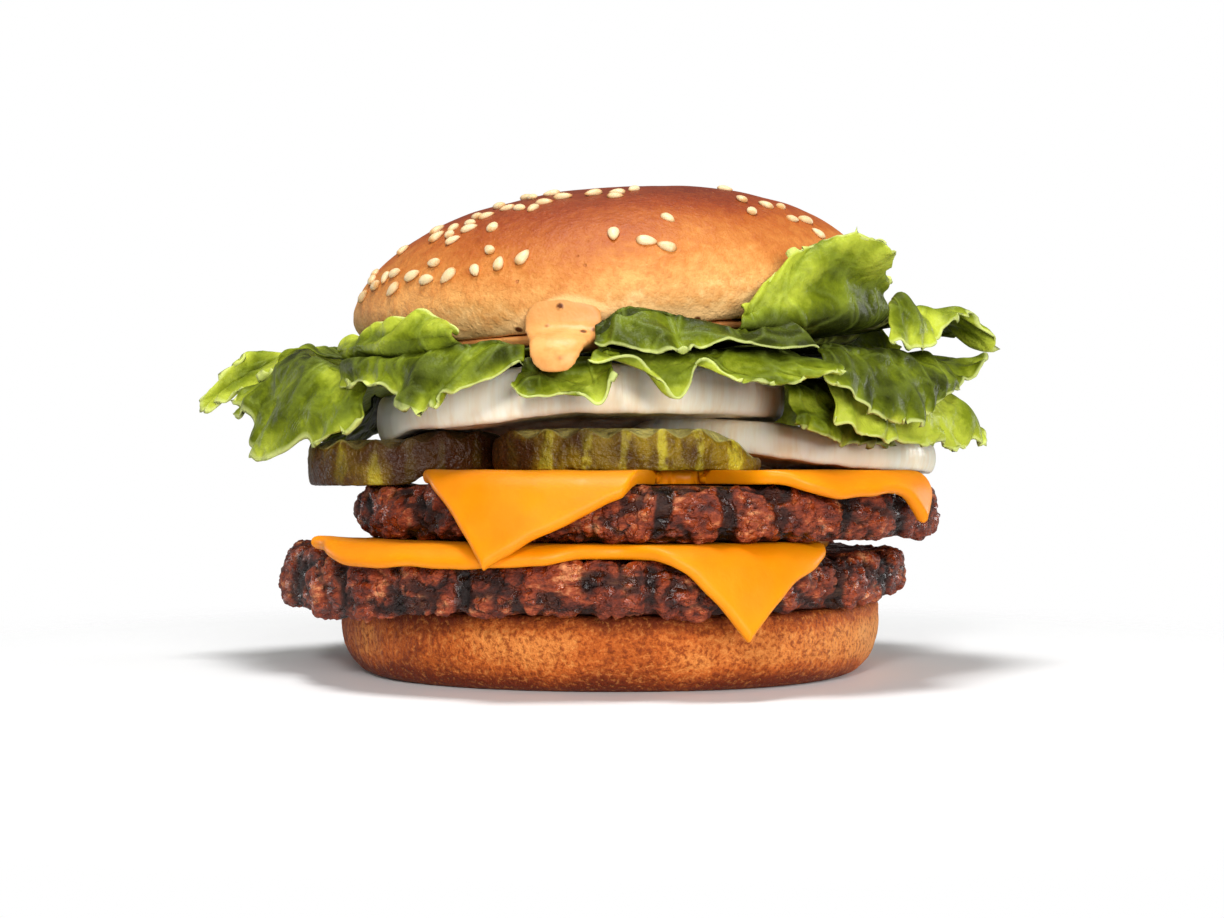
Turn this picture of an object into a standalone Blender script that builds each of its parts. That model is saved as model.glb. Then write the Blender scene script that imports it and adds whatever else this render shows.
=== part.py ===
"""A double cheeseburger: two grilled patties, each under a draped cheese slice, with pickles, onion,
lettuce and sauce between the halves of a sesame bun. Metres, +Z up. The origin is the centre of the
flat base of the bun's lower half. The burger's front faces -Y."""

import math
import random

import bmesh
import bpy
import numpy as np
from mathutils import Matrix, Vector, noise

MM = 0.001
GAP = 0.3 * MM  # air between touching layers, so that no two solids share space

# ---- driving sizes -------------------------------------------------------------------------------
HEEL_R = 52.4 * MM
HEEL_H = 13.4 * MM
HEEL_FOOT_R = 46.0 * MM
HEEL_LIP = 3.0 * MM  # its side stands straight over this height, under the cut face

PATTY_LOW_CENTRE = (-3.4 * MM, 0.0)
PATTY_LOW_R = 60.4 * MM
PATTY_UP_CENTRE = (7.2 * MM, -4.0 * MM)
PATTY_UP_R = 56.6 * MM
PATTY_H = 9.4 * MM
PATTY_CRAG = 1.5 * MM  # how far the outline wanders from a circle
PATTY_LOW_SEED = 2.4
PATTY_UP_SEED = 7.9

CHEESE_SIDE = 87.0 * MM
CHEESE_T = 2.4 * MM
CHEESE_BEND_R = 4.4 * MM  # radius of the fold over a patty's rim
CHEESE_CLEAR = 1.9 * MM  # how far past the rim it hangs
CHEESE_MELT = 22.0 * MM  # how far in from its edge a slice is drawn out or back where it melted
# Stretches of each slice's edge that melted out or back: two angles in degrees, the distance from the
# patty's middle that the edge then has before it folds, in mm, and how softly the stretch begins and ends.
CHEESE_LOW_RUNS = ((-50, 0, 64.5, 8), (46, 110, 55, 6))
CHEESE_UP_RUNS = ((-112, -51, 43, 5), (-2, 12, 53, 7), (26, 46, 61, 8))

PICKLE_SAG = 2.7 * MM  # how far the left pickle's end bends down
PICKLE_BEND = (0.976, 0.217, 37.4 * MM)  # the way it bends, left and to the front, and where it starts
PICKLE_WAVE = 6.4 * MM  # pitch of the crinkle cut
PICKLE_DEPTH = 0.75 * MM  # height of a crinkle, either side of the mean face
PICKLE_H = 6.9 * MM  # crest to crest
PICKLE_ROUND = 0.7 * MM  # rounding of its rim

ONION_UP_R = 39.0 * MM
ONION_UP_CENTRE = (-6.0 * MM, -9.0 * MM)
ONION_SAG = 0.15  # the share of the left pickle's sag that the upper slice follows
ONION_UP_FLOOR = 48.5 * MM
ONION_UP_ROOF = 56.6 * MM
ONION_LOW_R = 31.5 * MM
ONION_LOW_CENTRE = (33.0 * MM, 5.0 * MM)
ONION_LOW_H = 5.8 * MM
ONION_ROUND = 1.1 * MM

CROWN_R = 51.2 * MM
CROWN_SKIRT = 5.8 * MM  # from the cut face up to the widest ring
CROWN_DOME = 21.8 * MM  # from the widest ring up to the apex
CROWN_CUT_R = 47.6 * MM
CROWN_MIDDLE = Vector((1.2 * MM, 0, 66.0 * MM))  # the middle of the cut face
CROWN_TILT_SIDE = math.radians(4.2)  # right side up
CROWN_TILT_FRONT = math.radians(4.0)  # front side down

SAUCE_T = 1.6 * MM
SAUCE_R = 47.6 * MM
SAUCE_ROUND = 0.6 * MM
SAUCE_UNDERCUT = 1.4 * MM  # how much narrower it is at the bottom
DRIP_ANGLE = math.radians(-9.4)
DRIP_WIDTH = 9.6 * MM
DRIP_T = 2.7 * MM

LEAF_T = 0.8 * MM
LEAF_COLUMNS = 14
LEAF_STATIONS = (0, 1, 1.5, 2, 2.5, 3)  # where a leaf is cut across, counted in its rows of stops

SEED_LENGTH = 3.5 * MM
SEED_WIDTH = 2.1 * MM
SEED_HEIGHT = 1.3 * MM
SEED_PROUD = 0.08 * MM  # how far its middle stands off the crust
SEED_APART = 2.9 * MM
SEED_TRIES = 400
# Where the seeds lie: the middle of each patch, as an angle in degrees and a share of the dome's height,
# how far it scatters both ways, and how many seeds it has.
SEED_PATCHES = (
    (-60, 0.28, 9, 0.08, 11),
    (-54, 0.66, 12, 0.09, 12),
    (-29, 0.31, 6, 0.09, 3),
    (0, 0.42, 11, 0.09, 5),
    (48, 0.52, 10, 0.10, 7),
    (-22, 0.86, 18, 0.04, 9),
    (25, 0.90, 45, 0.03, 5),
    (180, 0.80, 45, 0.12, 8),
)

# ---- derived levels ------------------------------------------------------------------------------
PATTY_LOW_Z = HEEL_H + GAP
PATTY_LOW_TOP = PATTY_LOW_Z + PATTY_H
PATTY_UP_Z = PATTY_LOW_TOP + CHEESE_T + 2 * GAP
PATTY_UP_TOP = PATTY_UP_Z + PATTY_H
PICKLE_Z = PATTY_UP_TOP + CHEESE_T + 2 * GAP


# ---- small helpers -------------------------------------------------------------------------------
def smooth(low, high, x):
    """0 below low, 1 above high, and an S-curve between."""
    t = min(1.0, max(0.0, (x - low) / (high - low)))
    return t * t * (3 - 2 * t)


def wander(angle, turns, seed):
    """Smooth noise from -1 to 1 round a circle, with about that many bumps a turn."""
    k = turns / math.tau
    return 2 * noise.noise(Vector((math.cos(angle) * k + seed, math.sin(angle) * k, 0.7 * seed)))


def polar(angle, radius, z):
    """A point by its angle round the burger, where 0 faces the front and 90 degrees is the right."""
    return Vector((radius * math.sin(angle), -radius * math.cos(angle), z))


def material(name, colour, roughness):
    """A Principled material. Nothing here is metal."""
    made = bpy.data.materials.new(name)
    made.use_nodes = True
    shader = made.node_tree.nodes["Principled BSDF"]
    shader.inputs["Base Color"].default_value = (*colour, 1.0)
    shader.inputs["Roughness"].default_value = roughness
    shader.inputs["Metallic"].default_value = 0.0
    made.diffuse_color = (*colour, 1.0)
    return made


def add_object(name, points, faces, finish, origin=(0, 0, 0)):
    """A closed mesh object, with its normals outwards and its round sides shaded smooth. The points are
    where they lie in the burger, and the object's own origin and location are the one given."""
    middle = Vector(origin)
    mesh = bpy.data.meshes.new(name)
    mesh.from_pydata([tuple(p - middle) for p in points], [], faces)
    work = bmesh.new()
    work.from_mesh(mesh)
    bmesh.ops.recalc_face_normals(work, faces=work.faces)
    work.to_mesh(mesh)
    work.free()
    mesh.materials.append(finish)
    mesh.shade_smooth()
    mesh.set_sharp_from_angle(angle=math.radians(50))
    made = bpy.data.objects.new(name, mesh)
    made.location = middle
    bpy.context.scene.collection.objects.link(made)
    return made


def turned(name, profile, sectors, place, finish, origin=(0, 0, 0)):
    """A solid turned from a profile of (radius, height) that starts and ends on the axis. place puts
    each point where it belongs, given its angle, radius and height."""
    points = [place(0.0, 0.0, profile[0][1])]
    rings = profile[1:-1]
    for radius, height in rings:
        points += [place(math.tau * s / sectors, radius, height) for s in range(sectors)]
    points.append(place(0.0, 0.0, profile[-1][1]))
    last = len(points) - 1
    faces = []
    for s in range(sectors):
        t = (s + 1) % sectors
        faces.append((0, 1 + t, 1 + s))
        for i in range(len(rings) - 1):
            a, b = 1 + i * sectors, 1 + (i + 1) * sectors
            faces.append((a + s, a + t, b + t))
            faces.append((a + s, b + t, b + s))
        a = 1 + (len(rings) - 1) * sectors
        faces.append((a + s, a + t, last))
    return add_object(name, points, faces, finish, origin)


def sheet_solid(grid, thickness):
    """Points and faces of a thin solid either side of a grid of points. Both faces are split alike."""
    rows, columns = len(grid), len(grid[0])
    p = np.array([[tuple(q) for q in row] for row in grid])
    across = np.gradient(p, axis=1)
    along = np.gradient(p, axis=0)
    normal = np.cross(across, along)
    normal /= np.maximum(np.linalg.norm(normal, axis=2, keepdims=True), 1e-12)
    top = (p + normal * thickness / 2).reshape(-1, 3)
    under = (p - normal * thickness / 2).reshape(-1, 3)
    points = np.concatenate([top, under])
    base = rows * columns
    faces = []
    for r in range(rows - 1):
        for c in range(columns - 1):
            a = r * columns + c
            b, d, e = a + 1, a + columns, a + columns + 1
            faces += [(a, b, e), (a, e, d)]
            faces += [(base + a, base + e, base + b), (base + a, base + d, base + e)]
    border = list(range(columns))
    border += [r * columns + columns - 1 for r in range(1, rows)]
    border += [(rows - 1) * columns + c for c in range(columns - 2, -1, -1)]
    border += [r * columns for r in range(rows - 2, 0, -1)]
    for i, a in enumerate(border):
        b = border[(i + 1) % len(border)]
        faces += [(a, base + a, base + b), (a, base + b, b)]
    return [Vector(q) for q in points], faces


def fuse(name, pieces):
    """One object from several overlapping ones, by one Boolean union that is applied."""
    others = bpy.data.collections.new(name + "_pieces")
    bpy.context.scene.collection.children.link(others)
    base, *rest = pieces
    for piece in rest:
        bpy.context.scene.collection.objects.unlink(piece)
        others.objects.link(piece)
    union = base.modifiers.new("union", "BOOLEAN")
    union.operation = "UNION"
    union.solver = "EXACT"
    union.operand_type = "COLLECTION"
    union.collection = others
    graph = bpy.context.evaluated_depsgraph_get()
    mesh = bpy.data.meshes.new_from_object(base.evaluated_get(graph))
    base.modifiers.clear()
    base.data = mesh
    base.name = name
    for piece in rest:
        bpy.data.objects.remove(piece)
    bpy.data.collections.remove(others)
    return base


# ---- the bun's lower half ------------------------------------------------------------------------
def make_heel(finish):
    rise = HEEL_H - HEEL_LIP
    profile = [(0, 0), (HEEL_FOOT_R, 0)]
    for step in range(1, 5):
        turn = math.radians(90 * step / 4)
        out = HEEL_FOOT_R + (HEEL_R - HEEL_FOOT_R) * math.sin(turn) ** 0.9
        profile.append((out, rise * (1 - math.cos(turn))))
    profile += [(HEEL_R - 0.6 * MM, HEEL_H), (0, HEEL_H)]

    def place(angle, radius, height):
        low = 1 - height / HEEL_H
        wide = 1 + 0.010 * wander(angle, 5, 3.1) + 0.03 * low * math.sin(2 * angle) ** 2
        return polar(angle, radius * wide, height)

    return turned("heel", profile, 40, place, finish)


# ---- the patties ---------------------------------------------------------------------------------
def patty_low_floor(x, y):
    """How far the lower patty's underside is off its level: it hangs at the left and lifts at the right."""
    left = -2.4 * smooth(54.5, 64, math.hypot(x, y) / MM) * smooth(10, 45, -x / MM)
    right = 1.6 * smooth(40, 56, x / MM)
    return (left + right) * MM


def patty_low_roof(x, y):
    """The same for its upper side, which stands up a little at the left end."""
    return 1.3 * MM * smooth(44, 60, -x / MM)


def level(x, y):
    """For a layer that lies flat."""
    return 0.0


def patty_rim(radius, seed, angle):
    """A patty's outline, without its finest crags."""
    return radius + PATTY_CRAG * (0.75 * wander(angle, 9, seed) + 0.35 * wander(angle, 26, seed + 4))


def make_patty(name, centre, radius, bottom, floor, roof, seed, finish):
    """A hand-shaped disc of minced beef with a bulging, craggy rim."""
    half = PATTY_H / 2
    profile = [(0, -half), (0.84, -half)]  # the radii here are shares of the rim's
    for turn in (-64, -28, 10, 50):
        rise = math.sin(math.radians(turn)) / math.sin(math.radians(64))
        profile.append((0.935 + 0.065 * math.cos(math.radians(turn)), half * 0.97 * rise))
    profile += [(0.84, half), (0.62, half), (0, half)]

    def place(angle, share, height):
        rim = patty_rim(radius, seed, angle)
        crag = smooth(0.84, 0.94, share)
        fine = 0.55 * MM * noise.noise(Vector((angle * 14, height / (2.2 * MM), seed))) * crag
        p = polar(angle, share * rim + fine, 0)
        x, y = p.x + centre[0], p.y + centre[1]
        up = (height + half) / PATTY_H
        lift = floor(x, y) * (1 - up) + roof(x, y) * up
        return Vector((x, y, bottom + half + height + lift))

    return turned(name, profile, 48, place, finish, (*centre, bottom))


# ---- the cheese ----------------------------------------------------------------------------------
def cheese_stations():
    """Distances across the slice, closer together near its edges, where it folds over the patty."""
    half = CHEESE_SIDE / 2
    side = [half * share for share in (1, 0.91, 0.82, 0.73, 0.6, 0.4, 0.14)]
    return [-d for d in side] + side[::-1]


def hang_low(angle):
    """How steeply the lower slice hangs."""
    return math.radians(78)


def hang_up(angle):
    """The same for the upper one, whose front corner leans out over the lower patty."""
    return math.radians(62 + 17 * smooth(-15, 35, math.degrees(angle)))


def slice_reach(middle_a, middle_b, side_a, side_b, angle):
    """How far it is from the patty's middle to the edge of a square slice, at an angle. middle_a and
    middle_b say where that middle lies in the slice."""
    way = polar(angle, 1.0, 0)
    half = CHEESE_SIDE / 2
    reach = []
    for at, along in ((middle_a, way.dot(side_a)), (middle_b, way.dot(side_b))):
        if abs(along) > 1e-6:
            reach.append((math.copysign(half, along) - at) / along)
    return min(reach)


def melted_by(runs, angle, edge_reach, closeness):
    """How many times further out a point of a slice lies where its edge melted out or back."""
    degrees = math.degrees(angle)
    times = 1.0
    for begin, end, target, soft in runs:
        inside = smooth(begin - soft, begin + soft, degrees) * (1 - smooth(end - soft, end + soft, degrees))
        times += closeness * inside * (target * MM / edge_reach - 1)
    return times


def make_cheese(
    name, patty_centre, patty_radius, seed, roof, bottom, corner_angle, shift, hang_at, runs, finish
):
    """A square slice that lies on its patty and folds down over the rim where it reaches past it.
    corner_angle is where its front corner points, and shift is how far it lies that way off centre,
    and how far the way of the corner to the right of that."""
    stations = cheese_stations()
    half = CHEESE_SIDE / 2
    front = polar(corner_angle, 1.0, 0)
    right = polar(corner_angle + math.radians(90), 1.0, 0)
    side_a = (right + front).normalized()
    side_b = (right - front).normalized()
    middle = Vector((*patty_centre, 0))
    centre = middle + front * shift[0] + right * shift[1]
    off_a = (middle - centre).dot(side_a)
    off_b = (middle - centre).dot(side_b)
    grid = []
    for b in stations:
        row = []
        for a in stations:
            flat = centre + side_a * a + side_b * b - middle
            angle = math.atan2(flat.x, -flat.y)
            edge_reach = slice_reach(off_a, off_b, side_a, side_b, angle)
            closeness = smooth(half - CHEESE_MELT, half, max(abs(a), abs(b)))
            reach = flat.length * melted_by(runs, angle, edge_reach, closeness)
            hang = patty_rim(patty_radius, seed, angle) + CHEESE_CLEAR + CHEESE_T / 2
            fold = hang - CHEESE_BEND_R
            past = reach - fold
            drop = 0.0
            if past > 0:
                turned_by = min(past / CHEESE_BEND_R, hang_at(angle))
                left = past - turned_by * CHEESE_BEND_R
                reach = fold + CHEESE_BEND_R * math.sin(turned_by) + left * math.cos(turned_by)
                drop = CHEESE_BEND_R * (1 - math.cos(turned_by)) + left * math.sin(turned_by)
            out = polar(angle, reach, 0) + middle
            row.append(Vector((out.x, out.y, bottom + CHEESE_T / 2 + roof(out.x, out.y) - drop)))
        grid.append(row)
    points, faces = sheet_solid(grid, CHEESE_T)
    return add_object(name, points, faces, finish, (*patty_centre, bottom))


# ---- pickles and onion ---------------------------------------------------------------------------
def make_pickle(name, centre, half_long, half_deep, turn, sag, finish):
    """An oval crinkle-cut slice. Its ridges run across it, so that its front rim shows the wave."""
    columns = 2 * round(half_long / PICKLE_WAVE * 4) + 1
    mean = PICKLE_H / 2 - PICKLE_DEPTH
    grid = []
    for c in range(columns):
        x = -half_long + 2 * half_long * c / (columns - 1)
        deep = half_deep * math.sqrt(max(0.0, 1 - (x / half_long) ** 2)) + 1.2 * MM
        wave = PICKLE_DEPTH * math.cos(math.tau * x / PICKLE_WAVE)
        top, under = mean + wave, -mean + wave
        flat = deep - PICKLE_ROUND
        ring = [(-flat, top), (-deep, 0), (-flat, under), (flat, under), (deep, 0), (flat, top)]
        section = []
        for y, z in ring:
            px = centre[0] + x * math.cos(turn) - y * math.sin(turn)
            py = centre[1] + x * math.sin(turn) + y * math.cos(turn)
            lowered = sag(px, py) * (0.8 - 0.2 * z / mean)  # its top sags less than its underside
            section.append(Vector((px, py, PICKLE_Z + PICKLE_H / 2 + z + lowered)))
        grid.append(section)
    points = [p for section in grid for p in section]
    sides = len(grid[0])
    faces = []
    for c in range(columns - 1):
        for s in range(sides):
            t = (s + 1) % sides
            a, b = c * sides, (c + 1) * sides
            faces += [(a + s, a + t, b + t), (a + s, b + t, b + s)]
    faces.append(tuple(range(sides)))
    faces.append(tuple((columns - 1) * sides + s for s in reversed(range(sides))))
    return add_object(name, points, faces, finish, (*centre, PICKLE_Z))


def pickle_left_sag(x, y):
    """The left pickle reaches past the upper cheese slice, and bends down there, onto the patty's edge."""
    left, front, start = PICKLE_BEND
    past = -left * x - front * y - start
    return -PICKLE_SAG * smooth(0.3, 6.5, past / MM)


def onion_up_floor(x, y):
    """The upper slice bends down to the left and to the back, onto the pickles."""
    left = 2.4 * smooth(4, 30, -x / MM) + 2.0 * smooth(34, 46, -x / MM)
    back = 2.7 * smooth(-12, 20, y / MM)
    return max(ONION_UP_FLOOR - (left + back) * MM, PICKLE_Z + PICKLE_H + GAP + ONION_SAG * pickle_left_sag(x, y))


def onion_up_roof(x, y):
    return ONION_UP_ROOF - 4.6 * MM * smooth(8, 45, -x / MM)


def onion_low_floor(x, y):
    """The lower slice lies on the cheese at its right end and its back, and lifts at its front left."""
    hang = -0.10 * max(0.0, x - 58 * MM)
    lift = 4.0 * MM * smooth(0, 46, 56 - x / MM) * (1 - smooth(-16, 12, y / MM))
    return PICKLE_Z + 0.1 * MM + lift + hang


def onion_low_roof(x, y):
    return onion_low_floor(x, y) + ONION_LOW_H


def make_onion(name, centre, radius, floor, roof, seed, finish):
    """A thick slice across an onion, with a rounded cut edge."""
    flat = radius - ONION_ROUND
    profile = [(0, 0), (radius * 0.6, 0), (flat, 0), (radius, 0.2)]  # the heights are shares
    profile += [(r, 1 - up) for r, up in reversed(profile)]

    def place(angle, out, up):
        p = polar(angle, out * (1 + 0.014 * wander(angle, 4, seed)), 0)
        x, y = p.x + centre[0], p.y + centre[1]
        return Vector((x, y, floor(x, y) * (1 - up) + roof(x, y) * up))

    return turned(name, profile, 32, place, finish, (*centre, floor(*centre)))


# ---- the bun's upper half ------------------------------------------------------------------------
CROWN_AXES = (
    Vector((math.cos(CROWN_TILT_SIDE), 0, math.sin(CROWN_TILT_SIDE))),
    Vector((0, math.cos(CROWN_TILT_FRONT), math.sin(CROWN_TILT_FRONT))),
)
CROWN_UP = CROWN_AXES[0].cross(CROWN_AXES[1]).normalized()
CROWN_RIGHT = CROWN_AXES[0]
CROWN_BACK = CROWN_UP.cross(CROWN_RIGHT)
CROWN_TURN = Matrix((CROWN_RIGHT, CROWN_BACK, CROWN_UP)).transposed()
CROWN_FRAME = Matrix.Translation(CROWN_MIDDLE) @ CROWN_TURN.to_4x4()


def crown_radius(height):
    """The crown's radius at a height over its cut face."""
    if height < CROWN_SKIRT:
        below = 1 - max(0.0, height) / CROWN_SKIRT
        return CROWN_R - (CROWN_R - CROWN_CUT_R) * below**2.2
    above = min(1.0, (height - CROWN_SKIRT) / CROWN_DOME)
    return CROWN_R * (1 - above**1.66) ** (1 / 2.4)


def crown_dent(angle):
    return 1 + 0.010 * wander(angle, 4, 8.3)


def crown_point(angle, height):
    """A point of the crown's skin, in the crown's own frame."""
    return polar(angle, crown_radius(height) * crown_dent(angle), height)


def make_crown(finish):
    """The crown without its seeds, in its own frame."""
    profile = [(0, 0), (CROWN_CUT_R * 0.5, 0)]
    profile += [(crown_radius(CROWN_SKIRT * h), CROWN_SKIRT * h) for h in (0.0, 0.22, 0.5, 1.0)]
    for step in range(1, 7):
        above = math.sin(math.radians(90 * step / 7))
        height = CROWN_SKIRT + CROWN_DOME * above
        profile.append((crown_radius(height), height))
    profile.append((0, CROWN_SKIRT + CROWN_DOME))

    def place(angle, radius, height):
        return polar(angle, radius * crown_dent(angle), height)

    return turned("crown_bare", profile, 40, place, finish)


def seed_places():
    """(angle, height, turn) of each sesame seed in the crown's frame, patch by patch."""
    draw = random.Random(11)
    places = []
    for middle, share, wide, tall, count in SEED_PATCHES:
        wanted = len(places) + count
        for _ in range(SEED_TRIES):
            if len(places) == wanted:
                break
            angle = math.radians(middle + draw.gauss(0, wide))
            above = share + draw.gauss(0, tall)
            if not 0.12 < above < 0.96:
                continue
            height = CROWN_SKIRT + CROWN_DOME * above
            spot = crown_point(angle, height)
            if all((spot - crown_point(a, h)).length > SEED_APART for a, h, _ in places):
                places.append((angle, height, draw.uniform(0, math.tau)))
    return places


def seed_frame(angle, height, turn):
    """Where a seed sits on the crown's skin, and its long, wide and outward directions."""
    step = 0.4 * MM
    spot = crown_point(angle, height)
    east = (crown_point(angle + 0.01, height) - spot).normalized()
    rise = (crown_point(angle, min(height + step, CROWN_SKIRT + CROWN_DOME - 0.01 * MM)) - spot)
    rise = (rise - east * rise.dot(east)).normalized()
    outward = east.cross(rise).normalized()
    if outward.dot(spot - Vector((0, 0, CROWN_SKIRT))) < 0:
        outward = -outward
    long = (east * math.cos(turn) + rise * math.sin(turn)).normalized()
    return spot, long, outward.cross(long), outward


def make_seed(index, place, finish):
    """A teardrop seed, pressed half into the crust."""
    spot, long, wide, outward = seed_frame(*place)
    points = []
    for station, girth in ((-0.5, 0.0), (-0.24, 0.95), (0.16, 0.8), (0.5, 0.0)):
        sides = 1 if girth == 0 else 6
        for s in range(sides):
            around = math.tau * s / 6
            p = spot + long * (station * SEED_LENGTH)
            p += wide * (girth * SEED_WIDTH / 2 * math.cos(around))
            p += outward * (girth * SEED_HEIGHT / 2 * math.sin(around) + SEED_PROUD)
            points.append(p)
    faces = []
    for s in range(6):
        t = (s + 1) % 6
        faces += [(0, 1 + t, 1 + s), (1 + s, 1 + t, 7 + t), (1 + s, 7 + t, 7 + s), (7 + s, 7 + t, 13)]
    return add_object(f"seed_{index}", points, faces, finish)


# ---- sauce ---------------------------------------------------------------------------------------
def make_sauce(finish):
    """A thin spread under the crown, with one thick drip that has run out over the front edge."""
    def place(angle, radius, height):
        wide = 1 + 0.03 * wander(angle, 6, 5.2)
        return polar(angle, radius * wide, height)

    low, high, flat = -GAP - SAUCE_T, -GAP, SAUCE_R - SAUCE_ROUND
    rim = [(flat - SAUCE_UNDERCUT, low), (SAUCE_R - SAUCE_UNDERCUT / 2, (low + high) / 2), (flat, high)]
    profile = [(0, low), *rim, (0, high)]
    spread = turned("sauce_spread", profile, 40, place, finish)
    spread.matrix_world = CROWN_FRAME

    # the drip's middle line as (radius, height, share of its full width)
    path = [
        (43.0, 60.1, 1.2), (48.5, 60.1, 1.25), (53.0, 60.0, 1.2), (56.2, 59.3, 1.1),
        (58.0, 57.8, 0.97), (58.7, 55.8, 0.8), (58.7, 54.2, 0.4),
    ]
    sides = 10
    points = []
    for i, (r, z, w) in enumerate(path):
        before, after = path[max(0, i - 1)], path[min(len(path) - 1, i + 1)]
        slope = math.atan2(after[1] - before[1], after[0] - before[0])
        for s in range(sides):
            around = math.tau * s / sides
            across = DRIP_WIDTH / 2 * w * math.cos(around)
            thick = DRIP_T / 2 * max(w, 0.55) * math.sin(around)
            radius = r * MM - thick * math.sin(slope)
            height = z * MM + thick * math.cos(slope)
            p = polar(DRIP_ANGLE, radius, height)
            points.append(p + polar(DRIP_ANGLE + math.radians(90), across, 0))
    faces = []
    for i in range(len(path) - 1):
        for s in range(sides):
            t = (s + 1) % sides
            a, b = i * sides, (i + 1) * sides
            faces += [(a + s, a + t, b + t), (a + s, b + t, b + s)]
    faces.append(tuple(range(sides)))
    faces.append(tuple((len(path) - 1) * sides + s for s in reversed(range(sides))))
    drip = add_object("sauce_drip", points, faces, finish)
    return fuse("sauce", [spread, drip])


# ---- lettuce -------------------------------------------------------------------------------------
def through(stops, t):
    """A smooth curve through a few stops, at t from 0 to 1. Each stop is a tuple of numbers."""
    at = t * (len(stops) - 1)
    i = min(int(at), len(stops) - 2)
    f = at - i
    p = [stops[min(max(j, 0), len(stops) - 1)] for j in range(i - 1, i + 3)]
    made = []
    for a, b, c, d in zip(*p):
        made.append(
            b + 0.5 * f * (c - a + f * (2 * a - 5 * b + 4 * c - d + f * (3 * (b - c) + d - a)))
        )
    return made


def clear_of_crown(p, margin):
    """p, moved out of the crown and the sauce under it, by the shorter way."""
    q = CROWN_FRAME.inverted() @ p
    radius = math.hypot(q.x, q.y)
    floor = -(GAP + SAUCE_T + margin)
    if q.z < floor or q.z > CROWN_SKIRT + CROWN_DOME + margin:
        return p
    angle = math.atan2(q.x, -q.y)
    limit = crown_radius(q.z) * crown_dent(angle) + margin
    if radius >= limit:
        return p
    if q.z - floor < limit - radius:
        return CROWN_FRAME @ Vector((q.x, q.y, floor))
    return CROWN_FRAME @ polar(angle, limit, q.z)


def clear_of_slice(p, margin, centre, radius, floor, roof):
    """p, moved out of a round slice by the shorter way, out or up."""
    dx, dy = p.x - centre[0], p.y - centre[1]
    out = math.hypot(dx, dy)
    limit = radius * 1.015 + margin
    high = roof(p.x, p.y) + margin
    if out >= limit or not floor(p.x, p.y) - margin < p.z < high:
        return p
    if high - p.z < limit - out:
        return Vector((p.x, p.y, high))
    return Vector((centre[0] + dx * limit / out, centre[1] + dy * limit / out, p.z))


def clear_of_layers(p):
    margin = LEAF_T / 2 + GAP + 0.25 * MM
    p = clear_of_slice(p, margin, ONION_LOW_CENTRE, ONION_LOW_R, onion_low_floor, onion_low_roof)
    p = clear_of_slice(p, margin, ONION_UP_CENTRE, ONION_UP_R, onion_up_floor, onion_up_roof)
    return clear_of_crown(p, margin)


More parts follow.
